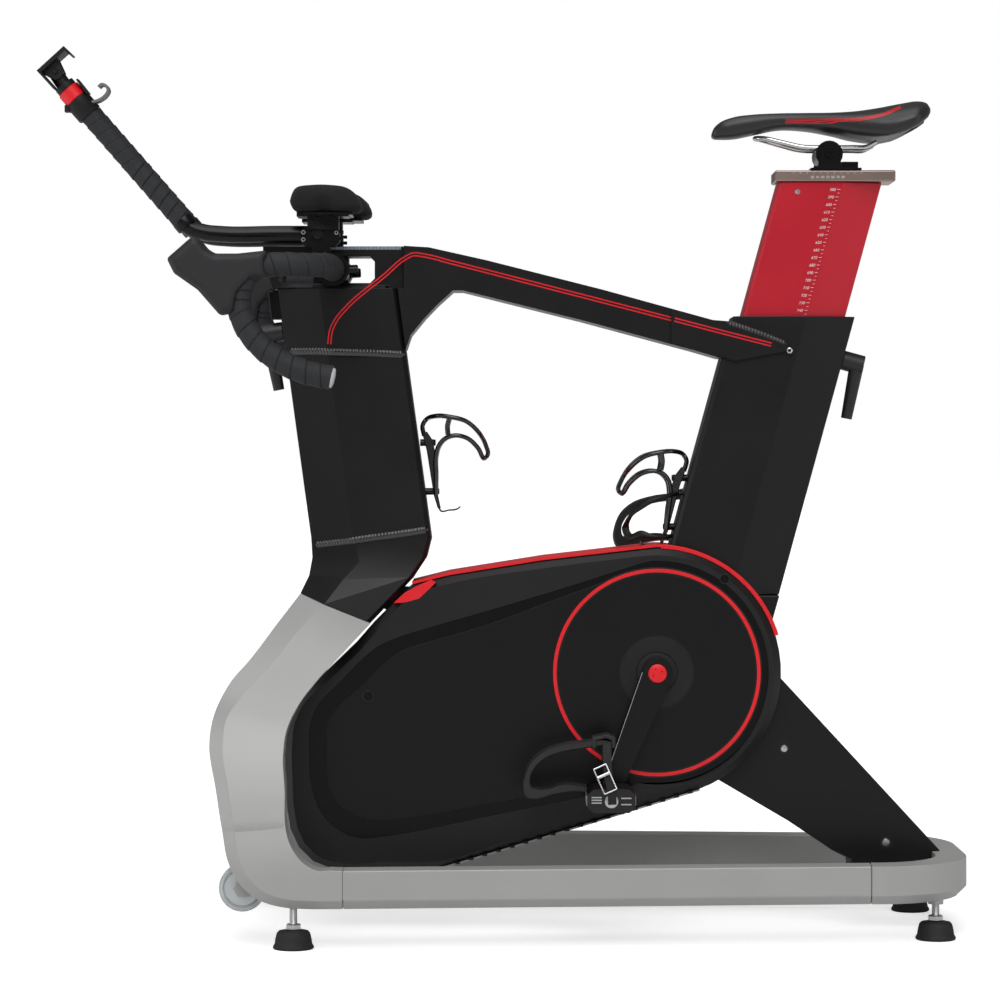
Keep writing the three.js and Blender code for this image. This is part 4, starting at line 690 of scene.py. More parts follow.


# Painted shade: a glossy near-black on the channel floor and in the holes, so that they read deep.
painted_shade_gloss = coated("gloss_black_painted_shade", "#020202", 0.24, grain=1.4, depth=0.003, drift=0.05, ior=1.30)
painted_shade_gloss_part = (painted_shade_gloss, "frame", "black_plastic")
for side, sign in SIDES:
    base, proud = sign * (COVER_FACE - 0.4), sign * (COVER_FACE + 1.9)
    # The channel floor is painted shade, glossy near-black so that the channel reads deep.
    prism(f"cover_channel_floor_{side}", channel_outer, base, sign * (COVER_FACE + 0.25), *painted_shade_gloss_part,
          angle=50.0)
    # Thin near-black rings round the hub and round the red ring's outside: painted shade in their grooves.
    disc(f"cover_hub_line_{side}", (0, CRANK_Z), 48.6, proud - sign * 0.2, proud + sign * 0.1, *near_black_and_painted_shade_part,
         120, 0.0, inner=46.8)
    disc(f"cover_outer_line_{side}", (0, CRANK_Z), 138.4, proud - sign * 1.2, proud - sign * 0.05,
         *near_black_and_painted_shade_part, 160, 0.0, inner=136.5)
    plate_with_hole(f"cover_surround_{side}", surround_edge, channel_outer, base, proud, *cover_part)
    prism(f"cover_panel_{side}", channel_inner, base, proud, panel_gloss, "frame", "black_plastic", 0.6,
          angle=50.0)
    disc(f"cover_red_ring_{side}", (0, CRANK_Z), 136.3, proud - sign * 0.2, proud + sign * 0.5, *red_part,
         160, 0.25, inner=131.6)
    # A thin near-black ring inside the red ring: painted shade in its groove.
    disc(f"cover_inner_line_{side}", (0, CRANK_Z), 131.4, proud - sign * 0.2, proud + sign * 0.08,
         *near_black_and_painted_shade_part, 160, 0.0, inner=129.6)
    disc(f"cover_hub_{side}", (0, CRANK_Z), 46.5, proud - sign * 0.2, proud + sign * 0.7, *cover_part, 120,
         0.35, inner=27)
    turned(f"cover_hub_cone_{side}", (0, 0, CRANK_Z), (0, sign, 0), [
        (15.4, 63), (15.4, 66.9), (18, 67.3), (24.5, 67.2), (26, 66.4), (26, 63)], *near_black_and_painted_shade_part, 72)
    for k, (x, z, radius) in enumerate([(-379, 309, 7), (89, 463, 6.5)]):
        # Near-black discs in the two holes: painted shade.
        disc(f"cover_hole_{side}_{k}", (x, z), radius - 0.8, proud - sign * 0.3, proud + sign * 0.12,
             *painted_shade_gloss_part, 40)
        disc(f"cover_hole_rim_{side}_{k}", (x, z), radius + 0.6, proud - sign * 0.3, proud + sign * 0.4,
             *cover_part, 40, 0.2, inner=radius - 0.9)
    lip_x = np.linspace(-284, -284 + 262 / 260 * 338, 60)
    prism(f"cover_lower_lip_{side}", band(np.c_[lip_x, lower_edge(lip_x)], -0.2, -2.2), sign * 46,
          sign * 56.5, *silver_frame)
    # Near-black blocks along the lower edge: painted shade in the air slots.
    blocks(f"cover_air_slot_painted_shade_{side}", [(x, sign * 54.5, lower_edge(x) - 0.4) for x in np.arange(-262, 50,
                                                                                                18.0)],
           (6.5, 7, 3.0), *near_black_and_painted_shade_part)
    prism(f"trim_tab_{side}", [(-346, 431), (-332, 444), (-316, 453), (-296, 462), (-290, 458), (-312, 437),
                               (-330, 432)],
          sign * 40, sign * 66.2, *red_part, 0.8)
    rear_band = np.r_[rear_arc(168, 40, 88, 17), rear_arc(162.5, 40, 88, 17)[::-1]]
    prism(f"trim_rear_edge_{side}", rear_band, sign * 40, sign * 56.5, *red_part, 0.5)


# ---------- cranks ----------
# Forged arms in black with a painted highlight, a thin bright strip along one edge of each, held on the axle
# by red caps.
for side in ("left", "right"):
    refined(f"crank_{side}", black_forging, 1.6, angle=40.0)
    refined(f"pedal_axle_{side}", steel_zinc, 0.5, angle=40.0)
for node in ("crank_spindle", "flywheel_axle", "bearing_left", "bearing_right", "brake_arm"):
    refined(node, steel_zinc, 0.4, angle=40.0)
refined("lower_spine", black_coat, 1.0, angle=35.0)
# Turned iron: mid grey metal with a fine tool grain.
machined_iron = coated("machined_cast_iron", "#6a6a6c", 0.38, 1.0, grain=0.5, depth=0.01, drift=0.08)
for node in ("flywheel", "drive_pulley"):
    refined(node, machined_iron, 0.4, angle=40.0)
# Neoprene: dull black.
belt_rubber = coated("moulded_ribbed_neoprene", "#161617", 0.75, grain=0.8, depth=0.03, drift=0.05)
refined("drive_belt", belt_rubber, 0.3, angle=40.0)
for side, sign in SIDES:
    turned(f"crank_cap_{side}", (0, 0, CRANK_Z), (0, sign, 0), [
        (0.05, 86.6), (10.6, 86.5), (11.8, 85.9), (12.2, 84.2), (12.2, 83.0), (0.05, 83.0)], red_moulding,
           "crankset",
        "red_plastic", 64)
    for k, turn in enumerate(np.radians((25, 205, 115))):
        # Near-black discs: painted shade in the cap's pin holes.
        disc(f"crank_cap_pin_hole_{side}_{k}", (6.2 * math.cos(turn), CRANK_Z + 6.2 * math.sin(turn)), 0.95,
             sign * 86.3, sign * 86.75, near_black_and_painted_shade, "crankset", "red_plastic", 16)
CRANK_LENGTH, CRANK_ANGLE = 170.0, math.radians(21.8)
crank_way = np.array([-math.sin(CRANK_ANGLE), -math.cos(CRANK_ANGLE)])
crank_side = np.array([crank_way[1], -crank_way[0]])
for side, sign in SIDES:
    # A thin bright zinc strip along one edge of each arm: a painted highlight.
    line = np.outer((-6 * sign, -160 * sign), crank_way) + np.outer((18.9, 12.2), crank_side) + (0, CRANK_Z)
    prism(f"crank_edge_painted_highlight_{side}", band(line, 0.35, -0.35), sign * 83.2, sign * 84.05, steel_zinc, "crankset",
          "black_alloy")


# ---------- pedals and toe clips ----------
# Resin pedal bodies with steel tread plates and end caps; nylon cages hold the toe, and
# a webbing strap runs through a chromed roller buckle on the outside.

# Filled resin: black with a faint gloss.
pedal_resin = coated("moulded_pedal_resin", "#0c0c0d", 0.36, grain=1.4, depth=0.008, drift=0.07)
# Flexible nylon: soft matt charcoal.
clip_nylon = coated("moulded_clip_nylon", "#1c1c1d", 0.55, grain=1.4, depth=0.02, drift=0.06)
# Woven strap: matt, with a coarse bump for its 1.2 mm ribs.
webbing = coated("woven_nylon_webbing", "#1c1c1d", 0.8, grain=1.2, depth=0.12, drift=0.05)
PEDAL_INNER, PEDAL_WIDTH = 89.0, 84.0


def pedal_pieces(side, sign):
    """One pedal with its clip. Its middle is at the end of the crank arm, and every
    outline is measured from there."""
    px, pz = crank_way * CRANK_LENGTH * -sign + (0, CRANK_Z)
    body = f"pedal_{side}"
    middle = PEDAL_INNER + PEDAL_WIDTH / 2

    def moved(points):
        return np.asarray(points, float) + (px, pz)

    refined(f"pedal_{side}", pedal_resin, 2.2, angle=25.0)
    end = PEDAL_INNER + PEDAL_WIDTH
    for k, x in enumerate((-31, 31)):
        blocks(f"pedal_plate_{side}_{k}", [(px + x, sign * (middle + dy), pz) for dy in (-24, 0, 24)],
               (1.6, 15, 13), steel_zinc, body, "steel")
    blocks(f"pedal_bars_{side}", [(px + x, sign * (end + 0.1), pz + z) for x, z in (
        (-19, 5), (-19, 1.5), (-19, -2), (19, 4), (19, -4))], (13, 1.0, 1.6), steel_zinc, body, "steel")
    turned(f"pedal_dust_cap_{side}", (px, sign * (end - 0.5), pz), (0, sign, 0),
           [(0.05, 2.2), (7.0, 2.1), (8.6, 1.2), (9.0, -1.0), (0.05, -1.0)], steel_zinc, body, "steel", 36)
    outer = smooth_path([(-31, 9), (-45, 10), (-75, 6), (-98, 0), (-110, 2), (-114, 12), (-112, 30),
                         (-104, 48), (-88, 62), (-62, 71), (-34, 75), (-10, 78), (3, 76)], 80)
    inner = smooth_path([(-31, 17), (-48, 20), (-66, 19.5), (-76, 15.5), (-90, 14), (-101, 17), (-103, 27),
                         (-97, 41), (-83, 53), (-60, 61), (-34, 65), (-10, 68), (2, 69)], 80)
    turn = np.linspace(-1, 1, 13)

    def clip_grid():
        """Across the band the outline draws in towards its own middle near the edges, so
        that the moulding has round shoulders: inset = 2.2.|v|^6."""
        draw = (2.2 * np.abs(turn) ** 6)[:, None, None]
        heart = (outer + inner) / 2
        way_out = (outer - heart) / (np.linalg.norm(outer - heart, axis=1)[:, None] + 1e-9)
        ring = np.concatenate([moved(outer) - draw * way_out, (moved(inner) + draw * way_out)[:, ::-1]], 1)
        y = np.broadcast_to((sign * (middle + 17 * turn))[:, None], ring.shape[:2])
        return np.stack([ring[..., 0], y, ring[..., 1]], -1)

    surface(f"toe_clip_band_{side}", place(clip_grid()), clip_nylon, body, "black_plastic",
            replaced=(f"toe_clip_{side}",), angle=50)
    loop = moved([(-24, 66), (-24, 80), (-4, 84), (6, 80), (6, 66), (1, 66), (1, 76), (-6, 79), (-19, 76),
                  (-19, 66)])
    prism(f"toe_clip_loop_{side}", loop, sign * (middle - 19), sign * (middle + 19), clip_nylon, body,
          "black_plastic", 1.2)
    for name, way in (("toe_strap", sign), ("toe_strap_inner", -sign)):
        strap_line = [(px + x, sign * middle + way * y, pz + z) for x, y, z in (
            (-5, 18, 73), (-5, 30, 50), (-3, 41, 27), (0, 44.5, 12), (1, 44, -4))]
        rod(f"{name}_{side}", strap_line, 60, 0.0055, 0.0012, (1, 0, 0), 20, webbing, body, "black_plastic",
            0.4, angle=50)
    buckle = np.array([(-8.5, 22), (8.5, 22), (8.5, -12), (-8.5, -12)])
    tilt = math.radians(24)
    spin = np.array([(math.cos(tilt), math.sin(tilt)), (-math.sin(tilt), math.cos(tilt))])
    corners = moved(buckle @ spin + (-6, 24))
    y = sign * (middle + 47.0 - 0.33 * np.clip(corners[:, 1] - pz - 18, 0, None))
    closed = np.c_[corners[:, 0], y, corners[:, 1]][[0, 1, 2, 3, 0]]
    for k in range(4):
        surface(f"buckle_bar_{side}_{k}", swept(place(np.linspace(closed[k], closed[k + 1], 8)), 0.0012,
                                                0.0012,
                (0.2, 1, 0.1), 12), chromed, body, "chrome")
    roller = np.linspace(closed[0] * 0.65 + closed[3] * 0.35, closed[1] * 0.65 + closed[2] * 0.35, 12)
    surface(f"buckle_roller_{side}", swept(place(roller), 0.0026, 0.0026, (0.2, 1, 0.1), 18), chromed, body,
            "chrome")


for side, sign in SIDES:
    pedal_pieces(side, sign)


# ---------- handlebar, tape and hoods ----------
# A bent tube wound with cushioned tape in a spiral, each turn lapping the one before,
# with plugs in its ends; rubber hoods sit on the forward bends and hold the buttons.

# Foam tape: matt charcoal with a soft 2 mm pebble.
bar_tape = coated("embossed_foam_bar_tape", "#222327", 0.72, grain=2.2, depth=0.22, drift=0.14)
taped_part = (bar_tape, "bars", "bar_tape")
# Painted shadow: a near-black cord along the line where one turn laps the last.
tape_lap_painted_shadow = coated("painted_shadow_at_tape_lap", "#070708", 0.9, grain=0.8, depth=0.02, drift=0.05)
# Acetal: pale and smooth.
end_plug = coated("moulded_pale_acetal", "#d4d4d4", 0.35, grain=0.8, depth=0.01, drift=0.05)
BAR_X, BAR_Z = -426.0, 868.0
HALF_BAR = [(0, 0, 2), (0, -60, 2), (-2, -140, 2), (-8, -178, 1), (-32, -199, 0), (-68, -205, 0),
            (-93, -205, -6),
            (-107, -205, -23), (-112, -205, -46), (-106, -206, -72), (-88, -207, -99), (-60, -208, -122),
            (-26, -209, -137), (6, -210, -144)]
whole_bar = np.r_[HALF_BAR[::-1], np.array(HALF_BAR[1:]) * (1, -1, 1)] + (BAR_X, 0, BAR_Z)


def wound(name, path, radius, pitch, lap, look, body, slot, sides=34, bare=0.0, replaced=()):
    """A tube wound with tape. With s along the path and u round it, f is the fraction of
    s/pitch + u/2.pi: the radius grows by lap.f and drops back where f passes 1. The middle
    'bare' millimetres keep the tube's own radius."""
    run = np.r_[0, np.cumsum(np.linalg.norm(np.diff(path, axis=0), axis=1))] * 1000
    turn = np.linspace(0, 1, sides, endpoint=False)
    middle = run[-1] / 2
    f = (np.abs(run - middle)[:, None] / pitch + turn) % 1
    rise = lap * (0.25 + 0.75 * f) * np.clip((1 - f) / 0.07, 0, 1)
    rise *= np.clip((np.abs(run - middle) - bare / 2) / 3, 0, 1)[:, None] if bare else 1.0
    reach = (radius + rise) / 1000
    grid = swept(path, reach, reach, (0.02, 0.0, 1.0) if bare else (0, 1, 0), sides)
    column = (-np.abs(run - middle) / pitch % 1) * sides
    low, share = column.astype(int) % sides, (column % 1)[:, None]
    rows = np.arange(len(path))
    helix = grid[rows, low] * (1 - share) + grid[rows, (low + 1) % sides] * share
    for part, chosen in enumerate((run > middle + bare / 2 + 4, run < middle - bare / 2 - 4)):
        # Each lap line gets a thin near-black cord: a painted shadow.
        surface(f"{name}_seam_{part}", swept(helix[chosen], 0.0005, 0.0005, (0, 1, 0.3), 6), tape_lap_painted_shadow, body,
                slot, angle=80)
    return surface(name, grid, look, body, slot, angle=48, replaced=replaced)


wound("handlebar_taped", smooth_path(place(whole_bar), 1250), 14.6, 19.5, 1.5, *taped_part,
      32, 96.0, ("handlebar",))
for side, sign in SIDES:
    turned(f"bar_end_plug_{side}", (BAR_X + 6, 210 * sign, BAR_Z - 144), (32, sign, -7.5), [
        (0.05, 4.2), (8, 4.0), (11.5, 3.0), (13.2, 1.2), (13.4, -1.0), (11, -4), (0.05, -4)], end_plug,
           "bars",
        "bar_tape", 40)


def softened(node, look, cell=0.0017, steps=9, swell=0.0007):
    """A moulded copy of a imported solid: remade of even cells, its corners worn round by
    steps of smoothing, and swelled by what the smoothing took off, in metres."""
    trial = linked(f"{node}_trial", merged(frame["nodes"][node].data.copy(), 2e-6))
    cells = trial.modifiers.new("cells", "REMESH")
    cells.mode, cells.voxel_size = "VOXEL", cell
    worn = trial.modifiers.new("worn", "SMOOTH")
    worn.iterations, worn.factor = steps, 0.5
    fuller = trial.modifiers.new("swell", "DISPLACE")
    fuller.strength, fuller.mid_level = swell, 0.0
    made = final_mesh(trial)
    bpy.data.objects.remove(trial)
    made.name = f"{node}_soft"
    return finish_mesh(made.name, made, look, BODY_OF[node], 0.0, (node,), 80.0)


# Moulded rubber: matt with a fine skin.
hood_rubber = coated("moulded_hood_rubber", "#1b1b1e", 0.60, grain=1.8, depth=0.06, drift=0.06)
# ABS key: a lighter grey that stands off the hood.
button_plastic = coated("moulded_grey_abs", "#3a3b3d", 0.45, grain=0.8, depth=0.01, drift=0.04)
for side in ("left", "right"):
    softened(f"hood_{side}", hood_rubber)
    refined(f"shift_button_{side}", button_plastic, 0.6, angle=40.0)


# ---------- handlebar post head and its carriage ----------
# The head is a slotted box; the carriage clamps the bar and slides in the slot, and a
# metal scale strip lies along the head's upper edge.
refined("bar_post", black_coat, 1.4, angle=30.0)
refined("bar_carriage", black_forging, 1.2, angle=40.0)
prism("bar_lock_block", [(-501, 844.6), (-514, 843), (-510, 806), (-495.5, 806)], -15, 15, black_forging,
      "frame", "black_paint", 1.5)
# Anodised strip: blue-grey metal edge.
scale_steel = coated("anodised_aluminium_strip", "#8f9bab", 0.35, 0.8, grain=0.6, depth=0.004, drift=0.05)
for side, sign in SIDES:
    prism(f"head_scale_{side}", [(-437, 897.5), (-337, 897.5), (-337, 901.4), (-437, 901.4)], sign * 25.6,
          sign * 26.6, scale_steel, "bar_post", "black_paint", 0.15)
    ticks = np.linspace(-432, -342, 19)
    blocks(f"head_scale_marks_{side}", [(x, sign * 26.65, 899.4 + 0.4 * (k % 2)) for k,
                                        x in enumerate(ticks)],
           (0.7, 0.25, 2.2), white_print, "bar_post", "black_paint")
    for k, (x, z) in enumerate([(-441.5, 877), (-414, 860)]):
        turned(f"carriage_bolt_{side}_{k}", (x, sign * 14.6, z), (0, sign, 0), [
            (0.05, 1.4), (2.2, 1.4), (2.4, 2.9), (3.8, 2.8), (4.3, 2.2), (4.3, -0.5), (0.05, -0.5)],
               *forged_part, 28)


# ---------- arm rests and long bars ----------
# Forged clamps hold the bars and carry the rests; the bars are bare tube back to a
# bend and taped beyond it.
AERO_Z, AERO_Y, AERO_BEND_X = 917.0, 45.0, -609.0
AERO_TIP = np.array((-756.0, 1085.0))
AERO_LENGTH = float(np.linalg.norm(AERO_TIP - (AERO_BEND_X, AERO_Z)))
aero_way = (AERO_TIP - (AERO_BEND_X, AERO_Z)) / AERO_LENGTH
tip_way = (aero_way[0], 0, aero_way[1])


def aero_point(reach, sign=-1):
    """A place on a long bar's axis, 'reach' mm beyond its bend."""
    x, z = np.array((AERO_BEND_X, AERO_Z)) + aero_way * reach
    return (x, AERO_Y * sign, z)


for side, sign in SIDES:
    refined(f"aero_clamp_{side}", black_forging, 1.3, angle=35.0)
    bare_line = [(-421, AERO_Y * sign, AERO_Z), (-500, AERO_Y * sign, AERO_Z), (-575, AERO_Y * sign, AERO_Z),
                 (-595, AERO_Y * sign, AERO_Z + 2), aero_point(14, sign), aero_point(30, sign),
                 aero_point(60, sign)]
    rod(f"aero_bar_{side}", bare_line, 90, 0.011, 0.011, (0, 1, 0), 40, black_forging, "bars", "black_paint",
        replaced=(f"aero_bar_{side}",), angle=60)
    taped_line = np.array([aero_point(reach, sign) for reach in np.linspace(16, AERO_LENGTH - 2, 8)])
    wound(f"aero_tape_{side}", smooth_path(place(taped_line), 330), 12.9, 17.0, 1.5, *taped_part, 34)
    turned(f"aero_tape_ring_{side}", aero_point(16, sign), tip_way, [
        (11.2, -3), (14.6, -2.6), (14.8, 0), (14.8, 8), (14.4, 9.5), (11.2, 9.5)], black_forging, "bars",
           "bar_tape", 40)
    turned(f"clamp_eye_{side}", (-446.5, 0, 915.5), (0, sign, 0), [
        (0.05, 56.0), (6.2, 56.2), (6.6, 59.1), (7.4, 59.9), (8.8, 59.9), (9.6, 58.9), (9.6, 56), (0.05, 55)],
        *forged_part, 48)
    # A near-black disc inside the eye: painted shade.
    disc(f"clamp_eye_dark_{side}", (-446.5, 915.5), 6.0, sign * 58.0, sign * 59.3, near_black_and_painted_shade, "bars",
         "black_alloy", 40)
    for k, (x, z) in enumerate([(-464.5, 918.5), (-464.5, 909), (-421, 918), (-436, 889)]):
        turned(f"clamp_bolt_{side}_{k}", (x, 0, z), (0, sign, 0), [
            (0.05, 58.6), (1.5, 58.6), (1.6, 60.3), (2.6, 60.2), (3.0, 59.6), (3.0, 58), (0.05, 58)],
               steel_zinc,
            "bars", "black_alloy", 24)
    blocks(f"clamp_screw_stack_{side}", [(-414.5, 52 * sign, 911), (-414.5, 52 * sign, 919)], (5, 7, 4.2),
           *forged_part)
    turned(f"grip_bolt_{side}", (-402, 44 * sign, 870), (1, 0, 0.05), [
        (0.05, 6.8), (2.4, 6.8), (2.5, 9.0), (5.4, 8.8), (6.4, 7.4), (6.4, -3), (0.05, -3)], *forged_part, 28)

# ---------- arm pads ----------
# Foam pads in knitted cloth, fuller at the front and pinched where they meet the
# carrier; a seam runs round the top panel.

# Knit over foam: dull black with a 1.1 mm knit bump.
pad_cloth = coated("knitted_polyester_cloth", "#141417", 0.92, grain=1.1, depth=0.12, drift=0.10)
# Thread: a slightly paler line round the pad.
seam_thread = coated("twisted_polyester_thread", "#1f1f22", 0.8, grain=0.6, depth=0.03, drift=0.05)
PAD_UNDER = 944.0
PAD_OUTLINE = [(-482, 957), (-478.5, 969), (-471, 976.5), (-455, 979), (-426, 979), (-406, 975.5),
               (-394, 966.5),
               (-387, 955), (-385.5, 948), (-389, 944.6), (-405, 944.2), (-440, 944.2), (-466, 944.2),
               (-477, 946.5)]


def pad_grid(middle, back):
    """Rings across a pad. At v from -1 to 1 over its width the outline draws in by
    13.(1 - (1 - |v|^3.2)^(1/3.2)) towards its middle, which rounds both sides."""
    outline = smooth_path(PAD_OUTLINE + PAD_OUTLINE[:1], 61)[:-1]
    heart = np.array((-436.0, 955.0))
    v = np.sin(np.linspace(-np.pi / 2, np.pi / 2, 27))[:, None, None]
    draw = 13 * (1 - (1 - np.minimum(abs(v), 0.999) ** 3.2) ** (1 / 3.2))
    size = np.linalg.norm(outline - heart, axis=1)[:, None]
    ring = heart + (outline - heart) * np.maximum(size - draw, 2) / size
    across = np.broadcast_to(middle + 41 * v[..., 0], ring.shape[:2])
    return place(np.stack([ring[..., 0] + back, across, np.maximum(ring[..., 1], PAD_UNDER)], -1))


def puffed(piece, cap):
    """The piece swells as filled cloth does under inner pressure; no point moves further
    than 'cap' metres and none goes under the pad's flat underside."""
    cells = piece.modifiers.new("cells", "REMESH")
    cells.mode, cells.voxel_size = "VOXEL", 0.0042
    cloth = piece.modifiers.new("cloth", "CLOTH")
    cloth.settings.use_pressure = True
    cloth.settings.uniform_pressure_force = 4.0
    cloth.settings.effector_weights.gravity = 0.0
    cloth.settings.quality = 5
    cloth.point_cache.frame_start, cloth.point_cache.frame_end = 1, 20
    before = points_of(final_mesh(piece))
    for step in range(1, 21):
        bpy.context.scene.frame_set(step)
    made = final_mesh(piece)
    bpy.context.scene.frame_set(1)
    after = points_of(made)
    if len(after) == len(before):
        move = after - before
        far = np.linalg.norm(move, axis=1)[:, None]
        after = before + move * np.minimum(1, cap / np.maximum(far, 1e-9))
    after[:, 2] = np.maximum(after[:, 2], PAD_UNDER / 1000)
    made.vertices.foreach_set("co", after.ravel())
    piece.modifiers.clear()
    piece.data = made
    made.materials.clear()
    made.materials.append(pad_cloth)
    made.shade_smooth()
    rounder = piece.modifiers.new("rounder", "SUBSURF")
    rounder.levels = rounder.render_levels = 1


for side, sign, back in (("left", -1, 0), ("right", 1, 8)):
    pad = surface(f"arm_pad_{side}_cloth", pad_grid(60 * sign, back), pad_cloth, "bars", "pad_fabric",
                  replaced=(f"arm_pad_{side}",), angle=80)
    puffed(pad, 0.005)
    hull = mathutils.bvhtree.BVHTree.FromObject(pad, bpy.context.evaluated_depsgraph_get())
    turn = np.linspace(0, 2 * np.pi, 160, endpoint=False)
    seam = []
    for u in turn:
        guess = place((-434 + back + 43 * math.copysign(abs(math.cos(u)) ** 0.6, math.cos(u)),
                       60 * sign + 37 * math.copysign(abs(math.sin(u)) ** 0.6, math.sin(u)), 992))
        spot = hull.ray_cast(mathutils.Vector(guess), mathutils.Vector((0, 0, -1)))[0]
        if spot:
            seam.append(spot)
    grid = swept(np.array(seam + seam[:1]), 0.0007, 0.0006, (0, 0, 1), 8)[:-1]
    surface(f"arm_pad_seam_{side}", grid, seam_thread, "bars", "pad_fabric", loop_along=True, angle=80)
    blocks(f"pad_carrier_{side}", [(-432 + back, 60 * sign, 941.2)], (66, 62, 3.4), *forged_part)


# ---------- screen holder ----------
# A ring clamp and a red collar on the left bar's tip carry a bent neck and a sprung jaw
# with a lip at each end; a small grey hook beside it holds the screen's lower edge.
holder_part = (shell_plastic, "bars", "black_plastic")
refined("holder_arm", shell_plastic, 0.8, angle=35.0)
refined("holder_jaw", shell_plastic, 1.0, angle=35.0)
# Nylon: flat mid grey.
hook_grey = coated("moulded_grey_nylon", "#6d6e70", 0.5, grain=0.9, depth=0.02, drift=0.05)
turned("holder_ring", aero_point(AERO_LENGTH), tip_way, [
    (13, -15), (16.2, -14.6), (17.2, -13), (17.2, 10.5), (16.2, 12), (13, 12)], *holder_part, 48)
turned("holder_red_collar", aero_point(AERO_LENGTH), tip_way, [
    (6, 12.2), (14.8, 12.3), (15.6, 13.4), (15.6, 28.6), (14.6, 29.8), (6, 29.9)], red_moulding, "bars",
    "red_plastic", 48)
neck_line = [aero_point(AERO_LENGTH + 26), aero_point(AERO_LENGTH + 38), (-787, -45, 1122), (-792, -45, 1130)]
rod("holder_neck", neck_line, 30, 0.0098, 0.0098, (0, 1, 0), 32, *holder_part, angle=60)
hook_line = smooth_path([(-752, 1083), (-744, 1089), (-733, 1093), (-725, 1099), (-721.5, 1106),
                         (-725, 1112.5), (-731, 1114), (-735, 1110.5)], 40)
prism("holder_hook", band(hook_line, 2.3, -1.4), -56, -34, hook_grey,
      "bars", "black_plastic", 0.6, angle=50)
prism("holder_guide", [(-764, 1119.5), (-761.4, 1121), (-747, 1103), (-750, 1100.5)], -58, -32, *holder_part,
      0.5)
blocks("holder_latch", [(-776, -45, 1082)], (7, 14, 9), *holder_part)


# ---------- bottle cages ----------
# Glossy moulded loops round the bottle's place: an outer and an inner run on each side
# joined at the tip and by a bridge, on a backbone with two screws and a foot.

# Glossy nylon: black with long thin highlights.
cage_gloss = coated("moulded_gloss_nylon", "#0b0b0b", 0.16, 0.0, 0.6, grain=1.4, depth=0.006, drift=0.08)
cage_part = (cage_gloss, "frame", "black_plastic")
CAGE_LOOP = [(-5, 0), (-6, 14), (1, 23), (14, 26.5), (32, 25), (53, 19), (67, 6), (76, -12), (77.5, -26),
             (73, -30), (66, -17), (52, -3), (36, 0.5), (24, -3), (14, -13), (9, -27), (7, -52), (5, -78)]
CAGE_BRIDGE = [(31, 25), (27, 12), (27, 0)]


def cage_pieces(name, node, corner, mirror, lean):
    """Both sides of a cage. A place at a reach r from the backbone lies beside a bottle
    of radius 36 at half width sqrt(36^2 - (r - 38)^2), and at least 4 mm out."""
    def put(points, sign):
        line = smooth_path(np.asarray(points, float), 90)
        reach = line[:, 0]
        wide = np.sqrt(np.maximum(36.0**2 - (reach - 38) ** 2, 16))
        x = corner[0] + mirror * reach + lean * line[:, 1]
        return place(np.c_[x, sign * wide, corner[1] + line[:, 1]])

    for side, sign in SIDES:
        first = {"replaced": (node,)} if side == "left" else {}
        surface(f"{name}_loop_{side}", swept(put(CAGE_LOOP, sign), 0.0038, 0.0030, (0, 1, 0), 16),
                *cage_part, angle=60, **first)
        surface(f"{name}_bridge_{side}", swept(put(CAGE_BRIDGE, sign)[::6], 0.0042, 0.0030, (0, 1, 0), 14),
                *cage_part, angle=60)
    back = [(corner[0] + mirror * reach + lean * rise, corner[1] + rise) for reach, rise in (
        (-7, 2), (-1, 6), (6, -6), (9, -30), (7.5, -78), (10, -97), (6, -97), (2, -80), (-3, -20))]
    prism(f"{name}_backbone", back, -6.5, 6.5, *cage_part, 1.2, angle=30)
    foot = smooth_path([(7.5, -96), (10, -100), (20, -99), (34, -96), (36, -94)], 24)
    foot[:, 0] = corner[0] + mirror * foot[:, 0] + lean * foot[:, 1]
    foot[:, 1] += corner[1]
    prism(f"{name}_foot", band(foot, 0.9, -0.9), -15, 15, *cage_part, 0.3, angle=50)
    for k, rise in enumerate((-9, -74)):
        spot = (corner[0] + lean * rise - mirror * 2, 0, corner[1] + rise)
        turned(f"{name}_screw_{k}", spot, (mirror, 0, 0), [
            (0.05, 10.4), (1.6, 10.4), (1.8, 11.8), (3.6, 11.6), (4.2, 10.6), (4.6, 8.0), (4.6, -9),
            (0.05, -9)],
            black_forging, "frame", "black_plastic", 28)


cage_pieces("front_cage", "bottle_cage_front", (-302.0, 651.0), 1, -0.075)
cage_pieces("rear_cage", "bottle_cage_rear", (34.0, 604.0), -1, 0.18)
lower_loop = smooth_path([(40, 575), (24, 573), (8, 569.5), (-16, 560), (-33, 545), (-39, 526), (-34, 516.5),
                          (-20, 521), (-6, 518), (12, 517.5), (26, 519)], 90)
around = np.sqrt(np.maximum(36.0**2 - (lower_loop[:, 0] + 6) ** 2, 16))
broad = 0.0026 + 0.0030 * np.exp(-(((lower_loop[:, 0] + 30) / 22) ** 2))
surface("rear_cage_lower_loop", swept(place(np.c_[lower_loop[:, 0], -around, lower_loop[:, 1]]), broad,
                                      0.0028,
        (0.6, 0, 0.8), 16), shell_plastic, "frame", "black_plastic", angle=60)


# ---------- feet ----------
# Rubber cups on threaded steel stems, each with a locking nut.

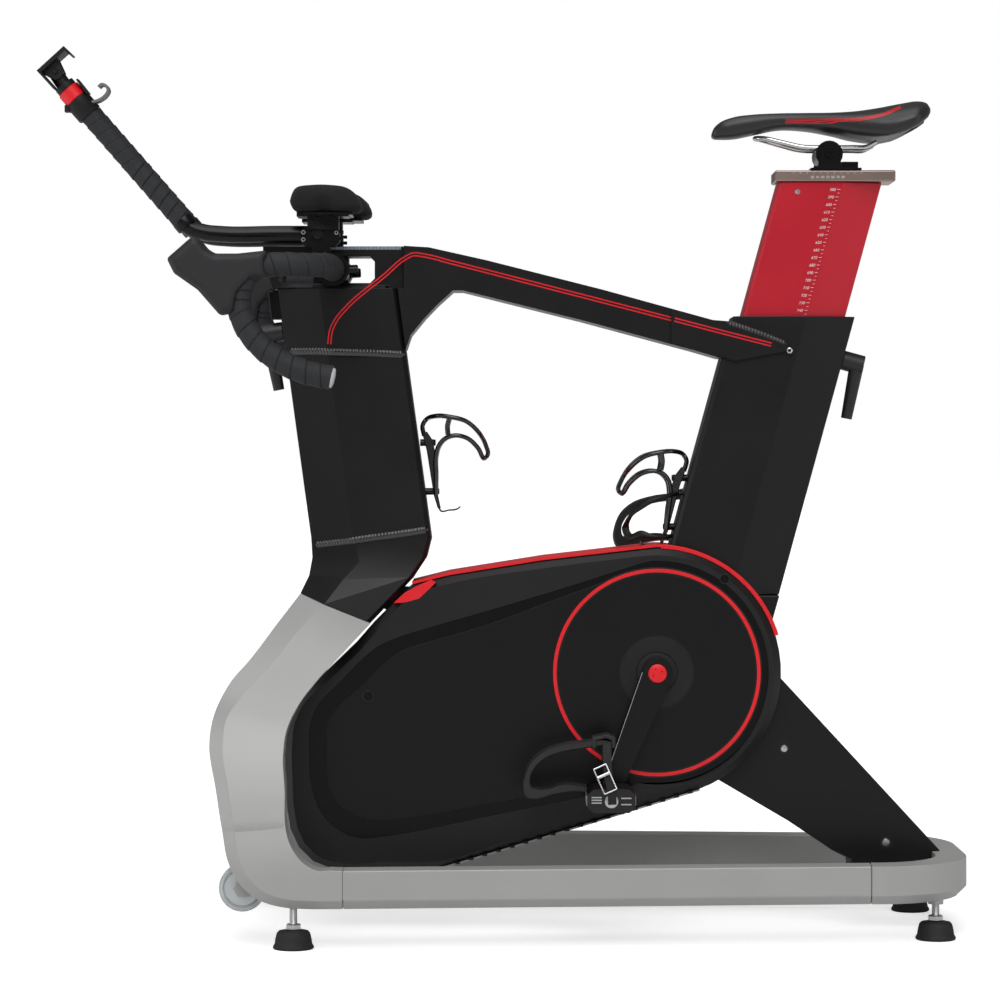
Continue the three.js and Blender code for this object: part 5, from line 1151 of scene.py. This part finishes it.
# Hard rubber: matt black.
foot_rubber = coated("moulded_foot_rubber", "#161617", 0.7, grain=1.3, depth=0.04, drift=0.06)
for spot, x, y in (("front_left", -468, -215), ("front_right", -468, 215), ("rear_left", 357, -134.5),
                   ("rear_right", 357, 134.5)):
    turned(f"foot_{spot}_cup", (x, y, 0), (0, 0, 1), [
        (0.05, 0), (24.5, 0), (26, 1.2), (26, 3.0), (25.2, 4.5), (24.0, 6.4), (22.8, 14), (21.2, 20),
        (19.0, 22.6),
        (13.0, 23.8), (0.05, 24)], foot_rubber, f"foot_{spot}", "rubber", 72, replaced=(f"foot_{spot}",),
           angle=40)
    turned(f"foot_{spot}_nut", (x, y, 0), (0, 0, 1), [
        (5, 23.8), (9.0, 24.0), (10.2, 25.0), (10.2, 30.4), (9.0, 31.4), (5, 31.6)], steel_zinc,
           f"foot_{spot}",
        "steel", 6, round_mm=0.5, angle=25)
    pitch = np.arange(31.5, 76, 0.5)
    turned(f"foot_{spot}_stem", (x, y, 0), (0, 0, 1),
           [(0.05, 22)] + [(4.9 - 0.35 * (k % 3 == 0), h) for k, h in enumerate(pitch)] + [(0.05, 76)],
           steel_zinc, f"foot_{spot}", "steel", 28, angle=60)


# ---------- transport wheels ----------
# Clear moulded wheels with a grooved rim, on plain bores.

# Clear moulding: pale, light shows through its rim.
clear_resin = coated("moulded_clear_polycarbonate", "#dfe5e6", 0.22, grain=1.0, depth=0.01, drift=0.02)
clear_resin.node_tree.nodes["Principled BSDF"].inputs["Transmission Weight"].default_value = 0.55
for side, sign in SIDES:
    turned(f"transport_wheel_{side}_clear", (-535, 0, 73), (0, -sign, 0), [
        (5.4, -191), (8.5, -191), (9.0, -189), (22, -188.4), (25, -191), (28.5, -190.2), (30, -187),
        (30, -182.5),
        (28.8, -181), (28.8, -177), (30, -175.5), (30, -171), (28.5, -167.8), (25, -167), (22, -169.6),
        (9, -169), (8.5, -167), (5.4, -167)], clear_resin, f"wheel_{side}", "clear_wheel", 72,
        replaced=(f"transport_wheel_{side}",), angle=40)
